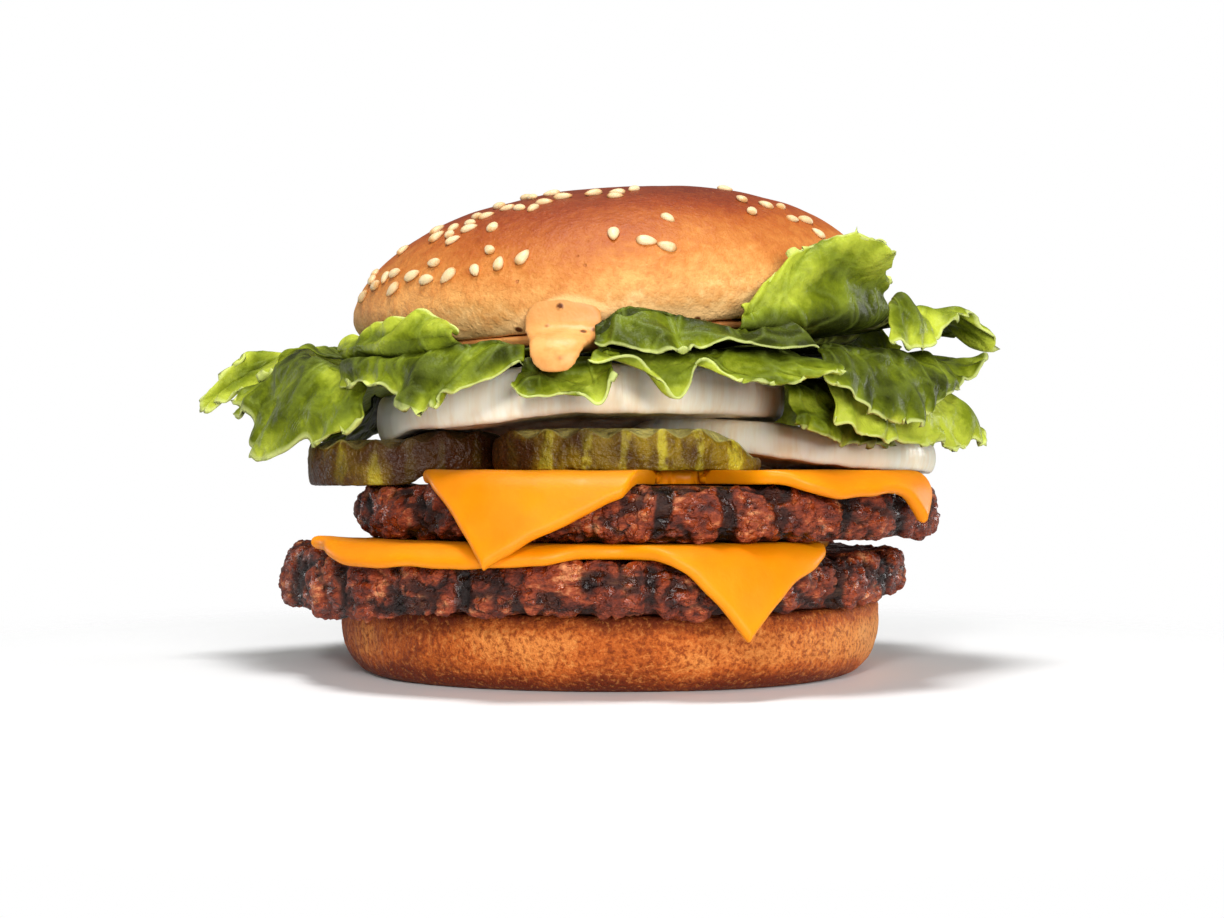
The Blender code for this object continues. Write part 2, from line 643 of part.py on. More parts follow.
# Each leaf is a sheet through four rows of stops: its root under the middle of the crown, where it comes
# out past the onion, the top of its fold, and its free edge with its tips and notches. A stop is (angle in
# degrees, radius in mm, height in mm). The last entry is the size in mm, count and seed of its waves.
LEAVES = {
    "leaf_left_low": (
        [(-92, 12, 57.6), (-58, 12, 57.8)],
        [(-94, 50, 57.5), (-76, 51, 57.6), (-59, 50, 56.2)],
        [(-92, 60, 58.5), (-82, 63, 59.4), (-66, 60, 57), (-53, 56.5, 54.5)],
        [(-92, 69, 54), (-88, 75, 50.5), (-82, 71, 46.5), (-75, 70, 39.8), (-63, 62, 42),
         (-50, 58.5, 48)],
        (1.4, 4, 1.7),
    ),
    "leaf_left_under": (
        [(-106, 46.5, 53), (-79, 46.5, 53)],
        [(-106, 47.4, 50), (-79, 47.6, 50)],
        [(-106, 50, 46.4), (-92, 51, 46), (-80, 51.5, 46.4)],
        [(-106, 54, 43), (-98, 56, 42.4), (-90, 57, 42.2), (-84, 57.5, 42.6), (-80, 57, 43.4)],
        (0.5, 3, 5.2),
    ),
    "leaf_left_high": (
        [(-126, 12, 59.4), (-90, 12, 59.6)],
        [(-124, 50, 60), (-104, 51, 60.5), (-88, 51, 60.4)],
        [(-124, 60, 61.5), (-107, 64, 63.5), (-90, 62, 62.4)],
        [(-122, 64, 57), (-108, 74, 58), (-99, 77.5, 61), (-95, 84, 51), (-93, 78, 52.5), (-91, 68, 59)],
        (1.1, 3, 4.2),
    ),
    "leaf_left_front_up": (
        [(-58, 12, 59.4), (-27, 12, 59.6)],
        [(-60, 50, 57.8), (-42, 51, 58.0), (-27, 50, 58.6)],
        [(-62, 57, 59.8), (-50, 58, 60.2), (-38, 58.5, 60.4), (-28, 57.5, 61)],
        [(-62, 54.6, 61.6), (-52, 54.4, 63.2), (-42, 54.4, 65.2), (-34, 54.6, 65.4), (-28, 55.5, 62)],
        (0.5, 3, 3.3),
    ),
    "leaf_left_front_down": (
        [(-52, 12, 57.8), (-21, 12, 57.8)],
        [(-54, 50, 56.2), (-34, 50, 56.8), (-19, 50, 57.6)],
        [(-58, 57, 57.4), (-44, 58.3, 57.8), (-30, 58, 58.4), (-21, 56.8, 60), (-15.6, 55, 59)],
        [(-56, 59, 53), (-46, 60.5, 54), (-38, 61, 50.3), (-31, 61.5, 48.3), (-25, 60, 52),
         (-15, 57.6, 55.6)],
        (0.6, 4, 6.1),
    ),
    "leaf_front": (
        [(-17, 12, 57.8), (-1, 12, 57.6)],
        [(-16, 50, 57.6), (-8, 50.5, 57.4), (0, 50, 57.1)],
        [(-16.5, 55, 54.4), (-8.6, 54, 54), (0, 55, 55.8)],
        [(-17, 58, 52.4), (-13, 60, 50.4), (-8, 58, 51.4), (-2.5, 60, 49.2), (0.5, 58, 54)],
        (0.4, 2, 5.9),
    ),
    "leaf_right_front_up": (
        [(3, 12, 60.2), (34, 12, 60.4)],
        [(-2, 50.5, 59.8), (14, 51, 60.3), (30, 51, 60.7)],
        [(-3, 54, 62.2), (2, 53.8, 65.4), (9, 54, 65), (16, 55.5, 62.8), (23, 56.5, 61.6),
         (32, 59, 63.4)],
        [(-3, 56.5, 59.4), (4, 60, 58), (11, 60.5, 57.8), (16, 60.5, 59.4), (24, 60.5, 58.4),
         (34, 63, 59)],
        (0.5, 4, 9.4),
    ),
    "leaf_right_front_down": (
        [(6, 12, 58.4), (36, 12, 58.6)],
        [(-1, 50, 58.3), (16, 50.5, 58.6), (34, 51, 59.2)],
        [(-3, 54.5, 58.2), (8, 55.5, 57), (20, 57.5, 56.8), (36, 60, 57)],
        [(-4, 58.5, 56.8), (5, 59.5, 55.6), (10.5, 61, 51), (15, 60, 56.2), (22, 61, 53.2),
         (29, 62.5, 52.8), (34, 66.5, 54.6), (39, 63, 55.4)],
        (0.3, 3, 2.7),
    ),
    "leaf_blade": (
        [(38, 12, 61.8), (72, 12, 62.2)],
        [(24, 52, 62.0), (38, 52.6, 62.4), (52, 53, 63.4), (64, 52, 64.6)],
        [(24, 54.4, 64.4), (30, 55, 67), (40, 57, 71), (50, 58.5, 72), (60, 57.5, 70.5)],
        [(24.5, 54.4, 65.6), (28, 54.4, 69.5), (34, 55, 74.5), (39, 57.5, 78), (43.5, 61.5, 79.3),
         (47, 66.5, 76.5), (54, 61, 74.5), (61, 57, 72.5)],
        (0.5, 3, 2.6),
    ),
    "leaf_right_up": (
        [(78, 12, 64), (108, 12, 64)],
        [(68, 52, 64.4), (82, 52, 66), (106, 51, 66.5)],
        [(64, 57, 69.6), (70, 58, 70.4), (78, 59, 69), (88, 57.5, 70.6), (106, 57, 71)],
        [(58, 60, 62.2), (64, 62.5, 61), (70, 64, 61.6), (76, 66, 66), (80, 70, 68.5), (84, 75, 62.5),
         (92, 69, 65), (106, 64, 65)],
        (0.7, 4, 7.7),
    ),
    "leaf_right_mid": (
        [(48, 12, 60.8), (104, 12, 61)],
        [(44, 50, 60.6), (72, 51, 60.6), (104, 50, 61.2)],
        [(39, 57, 59), (54, 59, 58), (70, 63, 58.5), (86, 62, 60), (106, 58, 61.5)],
        [(37, 62, 54.5), (46, 62, 48.6), (57, 65, 46.2), (66, 66, 51), (80, 68.5, 55), (89, 74, 60.6),
         (108, 64, 58)],
        (0.8, 4, 3.9),
    ),
    "leaf_right_low": (
        [(46, 12, 58.6), (104, 12, 58.6)],
        [(44, 48, 56.5), (70, 50, 56), (106, 48, 56)],
        [(43, 56, 53), (60, 60, 51.5), (78, 66, 52.5), (106, 60, 54)],
        [(42, 59, 47.4), (50, 60.5, 43.8), (60, 62, 43), (70, 67, 42.8), (78, 71, 42.8), (84, 72.5, 45),
         (106, 64, 49)],
        (0.9, 4, 8.1),
    ),
    "leaf_right_core": (
        [(38, 44, 55.2), (106, 41, 55.2)],
        [(38, 48, 54.2), (70, 47, 54), (106, 45, 54)],
        [(38, 51.5, 51), (70, 52, 49.2), (106, 50, 50)],
        [(37, 53, 46.4), (46, 54, 43.2), (56, 54.5, 42.8), (72, 56, 43.4), (84, 57, 44.6), (106, 53, 46)],
        (0.7, 4, 1.1),
    ),
    "leaf_back_right_up": (
        [(112, 12, 63), (152, 12, 63)],
        [(110, 51, 64.5), (132, 51, 64.6), (154, 51, 64)],
        [(110, 56, 70), (124, 56, 68.5), (138, 56, 69.6), (154, 56, 68)],
        [(109, 64, 64), (118, 66, 60), (128, 62, 63), (138, 66, 60), (147, 61, 63), (155, 62, 61)],
        (0.8, 4, 6.4),
    ),
    "leaf_back_right": (
        [(112, 12, 59.6), (156, 12, 59.6)],
        [(110, 49, 58.6), (134, 50, 58.4), (158, 49, 58.6)],
        [(109, 58, 58), (132, 58, 57), (158, 56, 58)],
        [(109, 66, 54), (120, 69, 48), (131, 62, 52.5), (142, 66, 47), (150, 60, 51), (159, 61, 52)],
        (1.2, 4, 5.5),
    ),
    "leaf_back_up": (
        [(160, 12, 62.6), (204, 12, 62.4)],
        [(158, 51, 63.4), (182, 51, 63), (206, 51, 61.6)],
        [(157, 55.5, 67.5), (170, 56, 68.6), (184, 55.5, 67), (206, 56, 66)],
        [(157, 62, 61), (167, 60, 62), (178, 64, 57.5), (190, 60, 61), (199, 63, 58), (208, 59, 60)],
        (0.8, 4, 4.6),
    ),
    "leaf_back": (
        [(162, 12, 59.4), (204, 12, 59.4)],
        [(161, 49, 58.6), (184, 49, 58.4), (205, 49, 58.2)],
        [(161, 56, 57.6), (184, 56, 57), (206, 56, 57)],
        [(161, 60, 53), (172, 66, 49), (182, 61, 53.5), (192, 67, 49), (200, 61, 52), (207, 60, 52)],
        (1.1, 4, 8.8),
    ),
    "leaf_back_left": (
        [(210, 12, 58.4), (250, 12, 58.2)],
        [(208, 49, 57.4), (228, 50, 57.2), (250, 49, 57)],
        [(209, 57, 57), (228, 58, 56.6), (251, 58, 57)],
        [(209, 60, 53), (218, 68, 46.5), (228, 63, 51.5), (238, 70, 47), (246, 65, 51), (253, 67, 53)],
        (1.1, 4, 2.2),
    ),
}


def leaf_point(rows, u, v):
    """A point of a leaf's smooth middle surface: u runs across it from 0 to 1, and v counts its rows."""
    stops = [through(row, u) for row in rows]
    angle, radius, height = through(stops, v / (len(rows) - 1))
    return polar(math.radians(angle), radius * MM, height * MM)


def leaf_wave(wave, u, v):
    """How far the leaf stands off that surface: its waves grow towards the free edge."""
    size, count, seed = wave
    grown = smooth(0.9, 3.0, v)
    slow = math.sin(math.tau * (count * u + 0.13 * seed)) * 0.5
    crumple = 1.4 * noise.noise(Vector((u * count * 2.1 + seed, v * 0.9, seed)))
    return size * MM * grown * (slow + crumple)


def leaf_grid(rows, wave, columns, stations):
    base = [[leaf_point(rows, c / (columns - 1), v) for c in range(columns)] for v in stations]
    p = np.array([[tuple(q) for q in row] for row in base])
    normal = np.cross(np.gradient(p, axis=1), np.gradient(p, axis=0))
    normal /= np.maximum(np.linalg.norm(normal, axis=2, keepdims=True), 1e-12)
    for r, v in enumerate(stations):
        for c in range(columns):
            off = leaf_wave(wave, c / (columns - 1), v)
            base[r][c] = clear_of_layers(base[r][c] + Vector(normal[r, c]) * off)
    return base


def make_leaf(name, rows, wave, finish):
    grid = leaf_grid(rows, wave, LEAF_COLUMNS, LEAF_STATIONS)
    points, faces = sheet_solid(grid, LEAF_T)
    return add_object(name, points, faces, finish, leaf_point(rows, 0.5, 0))


# ---- the whole burger ----------------------------------------------------------------------------
def main():
    for old in list(bpy.data.objects):
        bpy.data.objects.remove(old)
    crust = material("bun_crust", (0.62, 0.27, 0.08), 0.42)
    heel_crust = material("heel_crust", (0.60, 0.30, 0.12), 0.7)
    beef = material("grilled_beef", (0.16, 0.055, 0.03), 0.45)
    cheese = material("orange_cheese", (0.93, 0.45, 0.03), 0.35)
    pickle = material("pickle", (0.22, 0.22, 0.03), 0.3)
    onion = material("raw_onion", (0.80, 0.76, 0.66), 0.25)
    lettuce = material("lettuce", (0.20, 0.36, 0.05), 0.45)
    sauce = material("burger_sauce", (0.85, 0.44, 0.20), 0.35)

    make_heel(heel_crust)
    make_patty(
        "patty_lower", PATTY_LOW_CENTRE, PATTY_LOW_R, PATTY_LOW_Z,
        patty_low_floor, patty_low_roof, PATTY_LOW_SEED, beef,
    )
    make_cheese(
        "cheese_lower", PATTY_LOW_CENTRE, PATTY_LOW_R, PATTY_LOW_SEED, patty_low_roof, PATTY_LOW_TOP + GAP,
        math.radians(21.5), (15.3 * MM, 2.0 * MM), hang_low, CHEESE_LOW_RUNS, cheese,
    )
    make_patty(
        "patty_upper", PATTY_UP_CENTRE, PATTY_UP_R, PATTY_UP_Z, level, level, PATTY_UP_SEED, beef
    )
    make_cheese(
        "cheese_upper", PATTY_UP_CENTRE, PATTY_UP_R, PATTY_UP_SEED, level, PATTY_UP_TOP + GAP,
        math.radians(-28.6), (13.2 * MM, 4.4 * MM), hang_up, CHEESE_UP_RUNS, cheese,
    )
    make_pickle(
        "pickle_left", (-38 * MM, -18 * MM), 19 * MM, 15 * MM, math.radians(4), pickle_left_sag, pickle
    )
    make_pickle("pickle_front", (2.4 * MM, -34 * MM), 24 * MM, 13 * MM, 0.0, level, pickle)
    make_pickle("pickle_back", (-16 * MM, 33 * MM), 21 * MM, 14 * MM, math.radians(-8), level, pickle)
    make_onion("onion_lower", ONION_LOW_CENTRE, ONION_LOW_R, onion_low_floor, onion_low_roof, 1.3, onion)
    make_onion("onion_upper", ONION_UP_CENTRE, ONION_UP_R, onion_up_floor, onion_up_roof, 6.6, onion)
    for name, (*rows, wave) in LEAVES.items():
        make_leaf(name, rows, wave, lettuce)
    make_sauce(sauce)
    seeds = [make_seed(i, place, crust) for i, place in enumerate(seed_places())]
    crown = fuse("crown", [make_crown(crust), *seeds])
    crown.matrix_world = CROWN_FRAME

    burger = bpy.data.objects.new("burger", None)
    bpy.context.scene.collection.objects.link(burger)
    for piece in bpy.data.objects:
        if piece.type == "MESH":
            piece.parent = burger


main()
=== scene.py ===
# %% [markdown]
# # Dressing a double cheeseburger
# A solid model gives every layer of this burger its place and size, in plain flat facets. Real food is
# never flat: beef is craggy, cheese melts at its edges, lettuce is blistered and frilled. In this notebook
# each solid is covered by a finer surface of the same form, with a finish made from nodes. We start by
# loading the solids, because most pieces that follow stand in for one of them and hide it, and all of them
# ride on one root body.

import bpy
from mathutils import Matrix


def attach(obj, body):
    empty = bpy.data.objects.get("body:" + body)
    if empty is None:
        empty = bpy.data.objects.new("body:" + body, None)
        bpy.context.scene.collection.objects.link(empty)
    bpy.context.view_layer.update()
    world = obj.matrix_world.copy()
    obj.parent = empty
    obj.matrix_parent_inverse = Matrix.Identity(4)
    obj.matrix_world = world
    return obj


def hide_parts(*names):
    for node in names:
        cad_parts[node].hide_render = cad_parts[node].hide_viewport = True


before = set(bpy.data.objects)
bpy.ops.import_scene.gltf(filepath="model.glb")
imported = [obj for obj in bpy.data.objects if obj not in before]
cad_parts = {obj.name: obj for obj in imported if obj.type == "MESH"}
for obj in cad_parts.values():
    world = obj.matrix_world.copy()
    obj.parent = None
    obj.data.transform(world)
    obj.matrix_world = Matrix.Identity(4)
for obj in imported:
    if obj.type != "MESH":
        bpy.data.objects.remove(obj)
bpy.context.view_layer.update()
print("solid layers:", len(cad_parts))

# %% [markdown]
# ## Units and small shapes of numbers
# Everything is in metres, so one millimetre gets a name. Three helpers do most of the shaping. An easing
# curve fades one thing into another, a smooth curve passes through a few stops, as a bent spline does on a
# drawing board, and a slow noise wanders round a circle, so that round food isn't perfectly round. They
# all work on whole arrays at once, which keeps fine surfaces quick to make.

# %% Easing, curves and wandering
import functools
import math
import random

import bpy
import numpy as np
from mathutils import Matrix, Vector, noise

MM = 0.001
GAP = 0.3 * MM  # the air that the solids keep between touching layers


def ease(low, high, x):
    """0 below low, 1 above high, and an S-curve between."""
    t = np.clip((x - low) / (high - low), 0.0, 1.0)
    return t * t * (3 - 2 * t)


def bend(a, b, c, d, f):
    """A smooth curve's place at share f of the way from stop b to stop c, with a before and d after them."""
    return b + 0.5 * f * (c - a + f * (2 * a - 5 * b + 4 * c - d + f * (3 * (b - c) + d - a)))


def through(stops, t):
    """A smooth curve through a few stops, at each t from 0 to 1."""
    stops = np.asarray(stops, float)
    at = np.clip(t, 0, 1) * (len(stops) - 1)
    i = np.minimum(at.astype(int), len(stops) - 2)
    return bend(*(stops[np.clip(i + k, 0, len(stops) - 1)] for k in (-1, 0, 1, 2)), (at - i)[:, None])


@functools.lru_cache(maxsize=None)
def wander_table(turns, seed):
    k = turns / math.tau
    steps = np.linspace(0, math.tau, 1441)
    ring = [(math.cos(a) * k + seed, math.sin(a) * k, 0.7 * seed) for a in steps]
    return steps, np.array([2 * noise.noise(p) for p in ring])


def wander(angle, turns, seed):
    """Smooth noise from -1 to 1 round a circle, with about that many bumps a turn."""
    return np.interp(np.mod(angle, math.tau), *wander_table(turns, seed))


def polar(angle, radius, height):
    """Points by angle round the burger, where 0 faces the front and a quarter turn is its right."""
    angle, radius, height = np.broadcast_arrays(angle, radius, height)
    return np.stack([radius * np.sin(angle), -radius * np.cos(angle), height], axis=-1)


def lumps(points, size, seed, octaves=1):
    """Noise at each point, about -1 to 1, whose lumps are of that size."""
    places = (points.reshape(-1, 3) / size + seed).tolist()
    return np.array([noise.fractal(p, 1.0, 2.0, octaves) for p in places]).reshape(points.shape[:-1])


print("a slow wander at four angles:", np.round(wander(np.arange(4) * 1.5, 5, 3.1), 2))

# %% [markdown]
# ## From points to pieces
# Most pieces are a grid of points that is bent into shape. A round layer is a profile turned about an
# axis, so its grid closes on itself. A leaf or a slice of cheese is a single sheet, which is then given a
# top, an underside and an edge that tapers to nothing, as a melted or torn edge does. Numbers can be kept
# at the points, such as how near the edge each one is, and the finishes read them back later.

# %% Grids, sheets and turned layers
def weave(rows, columns, wrap=False):
    """The corners of every cell of a grid of points, counted row by row."""
    across = columns if wrap else columns - 1
    r, c = np.meshgrid(np.arange(rows - 1), np.arange(across), indexing="ij")
    a, b = r * columns + c, r * columns + (c + 1) % columns
    return np.stack([a, b, b + columns, a + columns], axis=-1).reshape(-1, 4)


def outward(grid, wrap=False):
    """The direction off a grid's surface at each of its points."""
    if wrap:
        across = np.roll(grid, -1, axis=1) - np.roll(grid, 1, axis=1)
    else:
        across = np.gradient(grid, axis=1)
    normal = np.cross(across, np.gradient(grid, axis=0))
    return normal / np.maximum(np.linalg.norm(normal, axis=2, keepdims=True), 1e-12)


def lay(name, points, faces, finish, slot, stands_for=(), marks=None):
    """A piece of the burger. marks are numbers kept at its points for its finish to read."""
    mesh = bpy.data.meshes.new(name)
    mesh.from_pydata(np.asarray(points).tolist(), [], faces)
    mesh.shade_smooth()
    for mark, values in (marks or {}).items():
        kept = mesh.attributes.new(mark, "FLOAT", "POINT")
        kept.data.foreach_set("value", np.asarray(values, np.float32).ravel())
    mesh.materials.append(finish)
    piece = bpy.data.objects.new(name, mesh)
    bpy.context.scene.collection.objects.link(piece)
    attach(piece, "root")
    for node in stands_for:
        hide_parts(node)
    print(f"{name}: {len(mesh.polygons)} faces")
    return piece


def turn_round(profile, sectors, place, relief=None):
    """Points and faces of a solid turned from (radius, height) stops that start and end on its axis.
    place puts them where they belong, and relief says how far each stands off the surface."""
    radius, height = np.array(profile[1:-1]).T
    angle = np.linspace(0, math.tau, sectors, endpoint=False)
    grid = place(angle[None, :], radius[:, None], height[:, None])
    if relief is not None:
        grid = grid + outward(grid, wrap=True) * relief(grid, angle[None, :], height[:, None])[..., None]
    low = place(np.zeros(1), np.zeros(1), np.full(1, profile[0][1]))
    high = place(np.zeros(1), np.zeros(1), np.full(1, profile[-1][1]))
    rings = len(radius)
    points = np.concatenate([low, grid.reshape(-1, 3), high])
    s = np.arange(sectors)
    t = (s + 1) % sectors
    last = 1 + (rings - 1) * sectors
    faces = (weave(rings, sectors, wrap=True) + 1).tolist()
    faces += np.stack([0 * s, 1 + t, 1 + s], axis=-1).tolist()
    faces += np.stack([last + s, last + t, 0 * s + len(points) - 1], axis=-1).tolist()
    return points, faces


def thicken(grid, half):
    """Points and faces of a sheet that stands half as far off each side of a grid, and ends in its border."""
    rows, columns = grid.shape[:2]
    off = outward(grid) * half[..., None]
    inner = np.ones((rows, columns), bool)
    inner[[0, -1], :] = False
    inner[:, [0, -1]] = False
    top = np.where(inner[..., None], grid + off, grid).reshape(-1, 3)
    under = (grid - off).reshape(-1, 3)[inner.ravel()]
    below = np.arange(rows * columns)
    below[inner.ravel()] = rows * columns + np.arange(inner.sum())
    cells = weave(rows, columns)
    faces = np.concatenate([cells, below[cells][:, ::-1]]).tolist()
    return np.concatenate([top, under]), faces, inner.ravel()


def with_ends(low, values, high):
    """Numbers of a turned piece's rows of points, with those of its two ends on the axis."""
    return np.concatenate([[low], np.ravel(values), [high]])


def both_sides(values, inner):
    """Numbers of a grid, for the points of the sheet made from it."""
    flat = np.asarray(values).ravel()
    return np.concatenate([flat, flat[inner]])


points, faces = turn_round([(0, 0), (1, 0), (1, 1), (0, 1)], 8, polar)
print("a turned tin of", len(points), "points and", len(faces), "faces")

# %% [markdown]
# ## Writing finishes as sums
# A finish is a small network of nodes, and most of it is arithmetic on patterns: this noise times that
# mask, plus a little. The nodes could be laid out by hand, but a sum is easier to read and to change. So
# one class wraps a socket and takes over the usual operators, and such a sum is written as a sum.

# %% Wires
class Wire:
    """What comes out of a socket. Sums of wires and numbers make Math nodes."""

    def __init__(self, nodes, socket):
        self.nodes = nodes
        self.socket = socket

    def math(self, operation, *terms):
        return self.nodes.node("ShaderNodeMath", {"operation": operation}, dict(enumerate(terms)))

    def __add__(self, other):
        return self.math("ADD", self, other)

    def __sub__(self, other):
        return self.math("SUBTRACT", self, other)

    def __rsub__(self, other):
        return self.math("SUBTRACT", other, self)

    def __mul__(self, other):
        return self.math("MULTIPLY", self, other)

    def __neg__(self):
        return self.math("MULTIPLY", self, -1.0)

    __radd__ = __add__
    __rmul__ = __mul__

    def fade(self, low, high):
        """0 where this is below low, 1 above high, and an S-curve between."""
        inputs = {"Value": self, "From Min": low, "From Max": high}
        return self.nodes.node("ShaderNodeMapRange", {"interpolation_type": "SMOOTHSTEP"}, inputs)


print("a wire knows:", " ".join(name for name in vars(Wire) if not name.startswith("__")))

# %% [markdown]
# Every other node is made by one method, which takes the kind of node, its settings and what goes into its
# sockets. A finish is such a set of nodes round one shader, with short names for the patterns that food
# needs most. Colours are given as they look on a screen and turned into linear light, and a finish is
# painted as a cook would see it: a base colour, and then coats over parts of it.

# %% Nodes and finishes
def tint(*screen):
    """A colour in linear light, from red, green and blue of 0 to 255 as a screen has them."""
    linear = [((c / 255 + 0.055) / 1.055) ** 2.4 if c > 10 else c / 255 / 12.92 for c in screen]
    return (*linear, 1.0)


class Nodes:
    """A tree of nodes on its way."""

    def __init__(self, tree):
        self.tree = tree

    def node(self, kind, settings, inputs, out=0):
        made = self.tree.nodes.new(kind)
        for setting, value in settings.items():
            if setting == "stops":
                while len(made.color_ramp.elements) < len(value):
                    made.color_ramp.elements.new(1.0)
                for stop, (at, colour) in zip(made.color_ramp.elements, value):
                    stop.position = at
                    stop.color = colour
            else:
                setattr(made, setting, value)
        for socket, value in inputs.items():
            if isinstance(value, Wire):
                self.tree.links.new(value.socket, made.inputs[socket])
            else:
                made.inputs[socket].default_value = value
        return Wire(self, made.outputs[out])


class Finish(Nodes):
    """A material on its way, round one Principled shader."""

    def __init__(self, name, **constants):
        self.material = bpy.data.materials.new(name)
        self.material.use_nodes = True
        super().__init__(self.material.node_tree)
        self.shader = self.tree.nodes["Principled BSDF"]
        for socket, value in constants.items():
            self.shader.inputs[socket.replace("_", " ")].default_value = value

    def place(self):
        """Where a point of the surface is, in metres."""
        return self.node("ShaderNodeTexCoord", {}, {}, "Object")

    def along(self, axis):
        """How far a point of the surface is along X or Z, in metres."""
        return self.node("ShaderNodeSeparateXYZ", {}, {0: self.place()}, axis)

    def mark(self, name):
        """A number that was kept at the piece's points."""
        return self.node("ShaderNodeAttribute", {"attribute_name": name}, {}, "Fac")

    def stretched(self, across, deep, up):
        """The place on the surface, with each direction squeezed that much."""
        settings = {"operation": "MULTIPLY"}
        return self.node("ShaderNodeVectorMath", settings, {0: self.place(), 1: (across, deep, up)})

    def grain(self, size, detail=2.0, rough=0.5, at=None):
        """Cloudy noise of about 0 to 1 with grains of that size in millimetres."""
        inputs = {"Vector": at or self.place(), "Scale": 1000 / size, "Detail": detail, "Roughness": rough}
        return self.node("ShaderNodeTexNoise", {}, inputs)

    def cells(self, size):
        """Distance from the middles of cells of that size in millimetres, as a share of the size."""
        inputs = {"Vector": self.place(), "Scale": 1000 / size}
        return self.node("ShaderNodeTexVoronoi", {"feature": "F1"}, inputs)

    def mix(self, factor, first, second):
        """The first colour where the factor is 0, the second where it is 1."""
        settings = {"data_type": "RGBA"}
        return self.node("ShaderNodeMix", settings, {0: factor, 6: first, 7: second}, 2)

    def ramp(self, factor, *stops):
        """A colour read off a row of stops, each a place from 0 to 1 and red, green and blue."""
        stops = [(at, tint(*colour)) for at, *colour in stops]
        return self.node("ShaderNodeValToRGB", {"stops": stops}, {0: factor})

    def paint(self, base, *coats):
        """A base colour under coats, each how much covers it and red, green and blue."""
        for share, *colour in coats:
            base = self.mix(share, base, tint(*colour))
        return base

    def bump(self, height, distance):
        """A normal that follows a height of 0 to 1, that many millimetres deep."""
        return self.node("ShaderNodeBump", {}, {"Height": height, "Distance": distance * MM})

    def done(self, **wires):
        for socket, wire in wires.items():
            self.tree.links.new(wire.socket, self.shader.inputs[socket.replace("_", " ")])
        print(f"{self.material.name}: {len(self.tree.nodes)} nodes")
        return self.material


print("orange in linear light:", np.round(tint(255, 128, 0), 3))

# %% [markdown]
# ## The bun's lower half
# The heel is the cut bottom of a soft roll. Its foot curves up from the table, its side stands straight
# just under the cut, and baking left it faintly wrinkled and dented. It could be sculpted, but a turned
# profile with noise pushed along its surface gives the same soft unevenness and keeps the solid's size.

# %% Heel
HEEL_R = 52.4 * MM
HEEL_H = 13.4 * MM
HEEL_FOOT_R = 46.0 * MM
HEEL_LIP = 3.0 * MM
HEEL_ROUND = 1.2 * MM  # the radius of its upper edge
HEEL_SECTORS = 420


def heel_profile():
    rise = HEEL_H - HEEL_LIP
    turn = np.linspace(0, math.pi / 2, 20)
    out = HEEL_FOOT_R + (HEEL_R - HEEL_FOOT_R) * np.sin(turn) ** 0.9
    stops = [(0, 0), *((HEEL_FOOT_R * s, 0) for s in (0.5, 0.9, 0.98))]
    stops += list(zip(out, rise * (1 - np.cos(turn))))
    stops += [(HEEL_R, rise + 0.8 * MM), (HEEL_R, rise + 1.6 * MM)]
    for turn in np.linspace(0, math.pi / 2, 6):
        inward, under = HEEL_ROUND * (1 - math.cos(turn)), HEEL_ROUND * (1 - math.sin(turn))
        stops.append((HEEL_R - inward, HEEL_H - under))
    return stops + [(HEEL_R * s, HEEL_H) for s in (0.94, 0.8, 0.4)] + [(0, HEEL_H)]


def heel_place(angle, radius, height):
    low = 1 - height / HEEL_H
    wide = 1 + 0.010 * wander(angle, 5, 3.1) + 0.03 * low * np.sin(2 * angle) ** 2
    return polar(angle, radius * wide, height)


def heel_relief(grid, angle, height):
    side = ease(0, 1.5 * MM, height) * ease(0, 0.8 * MM, HEEL_H - height)
    dents = 0.30 * MM * lumps(grid, 9 * MM, 2.0, 2)
    left = ease(20 * MM, 50 * MM, -grid[..., 0])
    creases = (0.06 + 0.22 * left) * MM * lumps(grid * (1, 1, 0.3), 2.6 * MM, 5.0, 2)
    pits = 0.10 * MM * lumps(grid, 1.2 * MM, 7.0, 2)
    return (dents + creases + pits) * side


heel_shape = turn_round(heel_profile(), HEEL_SECTORS, heel_place, heel_relief)
print("heel height in mm:", np.ptp(heel_shape[0][:, 2]) / MM)

# %% [markdown]
# Toasted bread is golden brown with darker, finely speckled patches. One broad noise drives the browning, a
# fine one makes the speckle, and a third, squeezed in height, draws the upright streaks of the wrinkled side.
# Light and shade are painted in as well: the right side is painted paler, where a lamp lights it, and the
# left side, the foot and the band under the patty are painted darker, where they lie in shade.

# %% Crust of the heel
def heel_finish():
    crust = Finish("toasted_heel", Roughness=0.62, Specular_IOR_Level=0.15)
    brown = crust.grain(15, 3, 0.6)
    streaks = crust.grain(2.4, 3, 0.6, at=crust.stretched(1, 1, 0.28))
    speckle = crust.grain(0.9, 3, 0.7)
    across, above = crust.along("X"), crust.along("Z")
    # painted light and shade: paler at the right, darker at the left, at the foot and in the patty's shadow
    # at the top
    pale = across.fade(26 * MM, 52 * MM) * 0.22 - (-across).fade(14 * MM, 40 * MM) * 0.16
    pale = pale - (1 - above.fade(0.0, 5.5 * MM)) * 0.42 - above.fade(9.0 * MM, HEEL_H) * 0.3
    wrinkled = (-across).fade(20 * MM, 48 * MM)
    base = crust.ramp(
        brown * 0.75 + speckle * 0.35 + (streaks - 0.5) * wrinkled * 0.6 - pale,
        (0.20, 230, 166, 98), (0.42, 220, 138, 66), (0.62, 182, 90, 32), (0.92, 104, 38, 12),
    )
    dark, light = speckle.fade(0.50, 0.62) * 0.6, (1 - speckle.fade(0.36, 0.46)) * 0.25
    base = crust.paint(base, (dark, 112, 42, 14), (light, 232, 160, 86))
    relief = crust.bump(speckle + streaks * wrinkled * 0.6, 0.9)
    return crust.done(Base_Color=base, Normal=relief)


lay("bun_heel", *heel_shape, heel_finish(), "heel_crust", ["heel"])
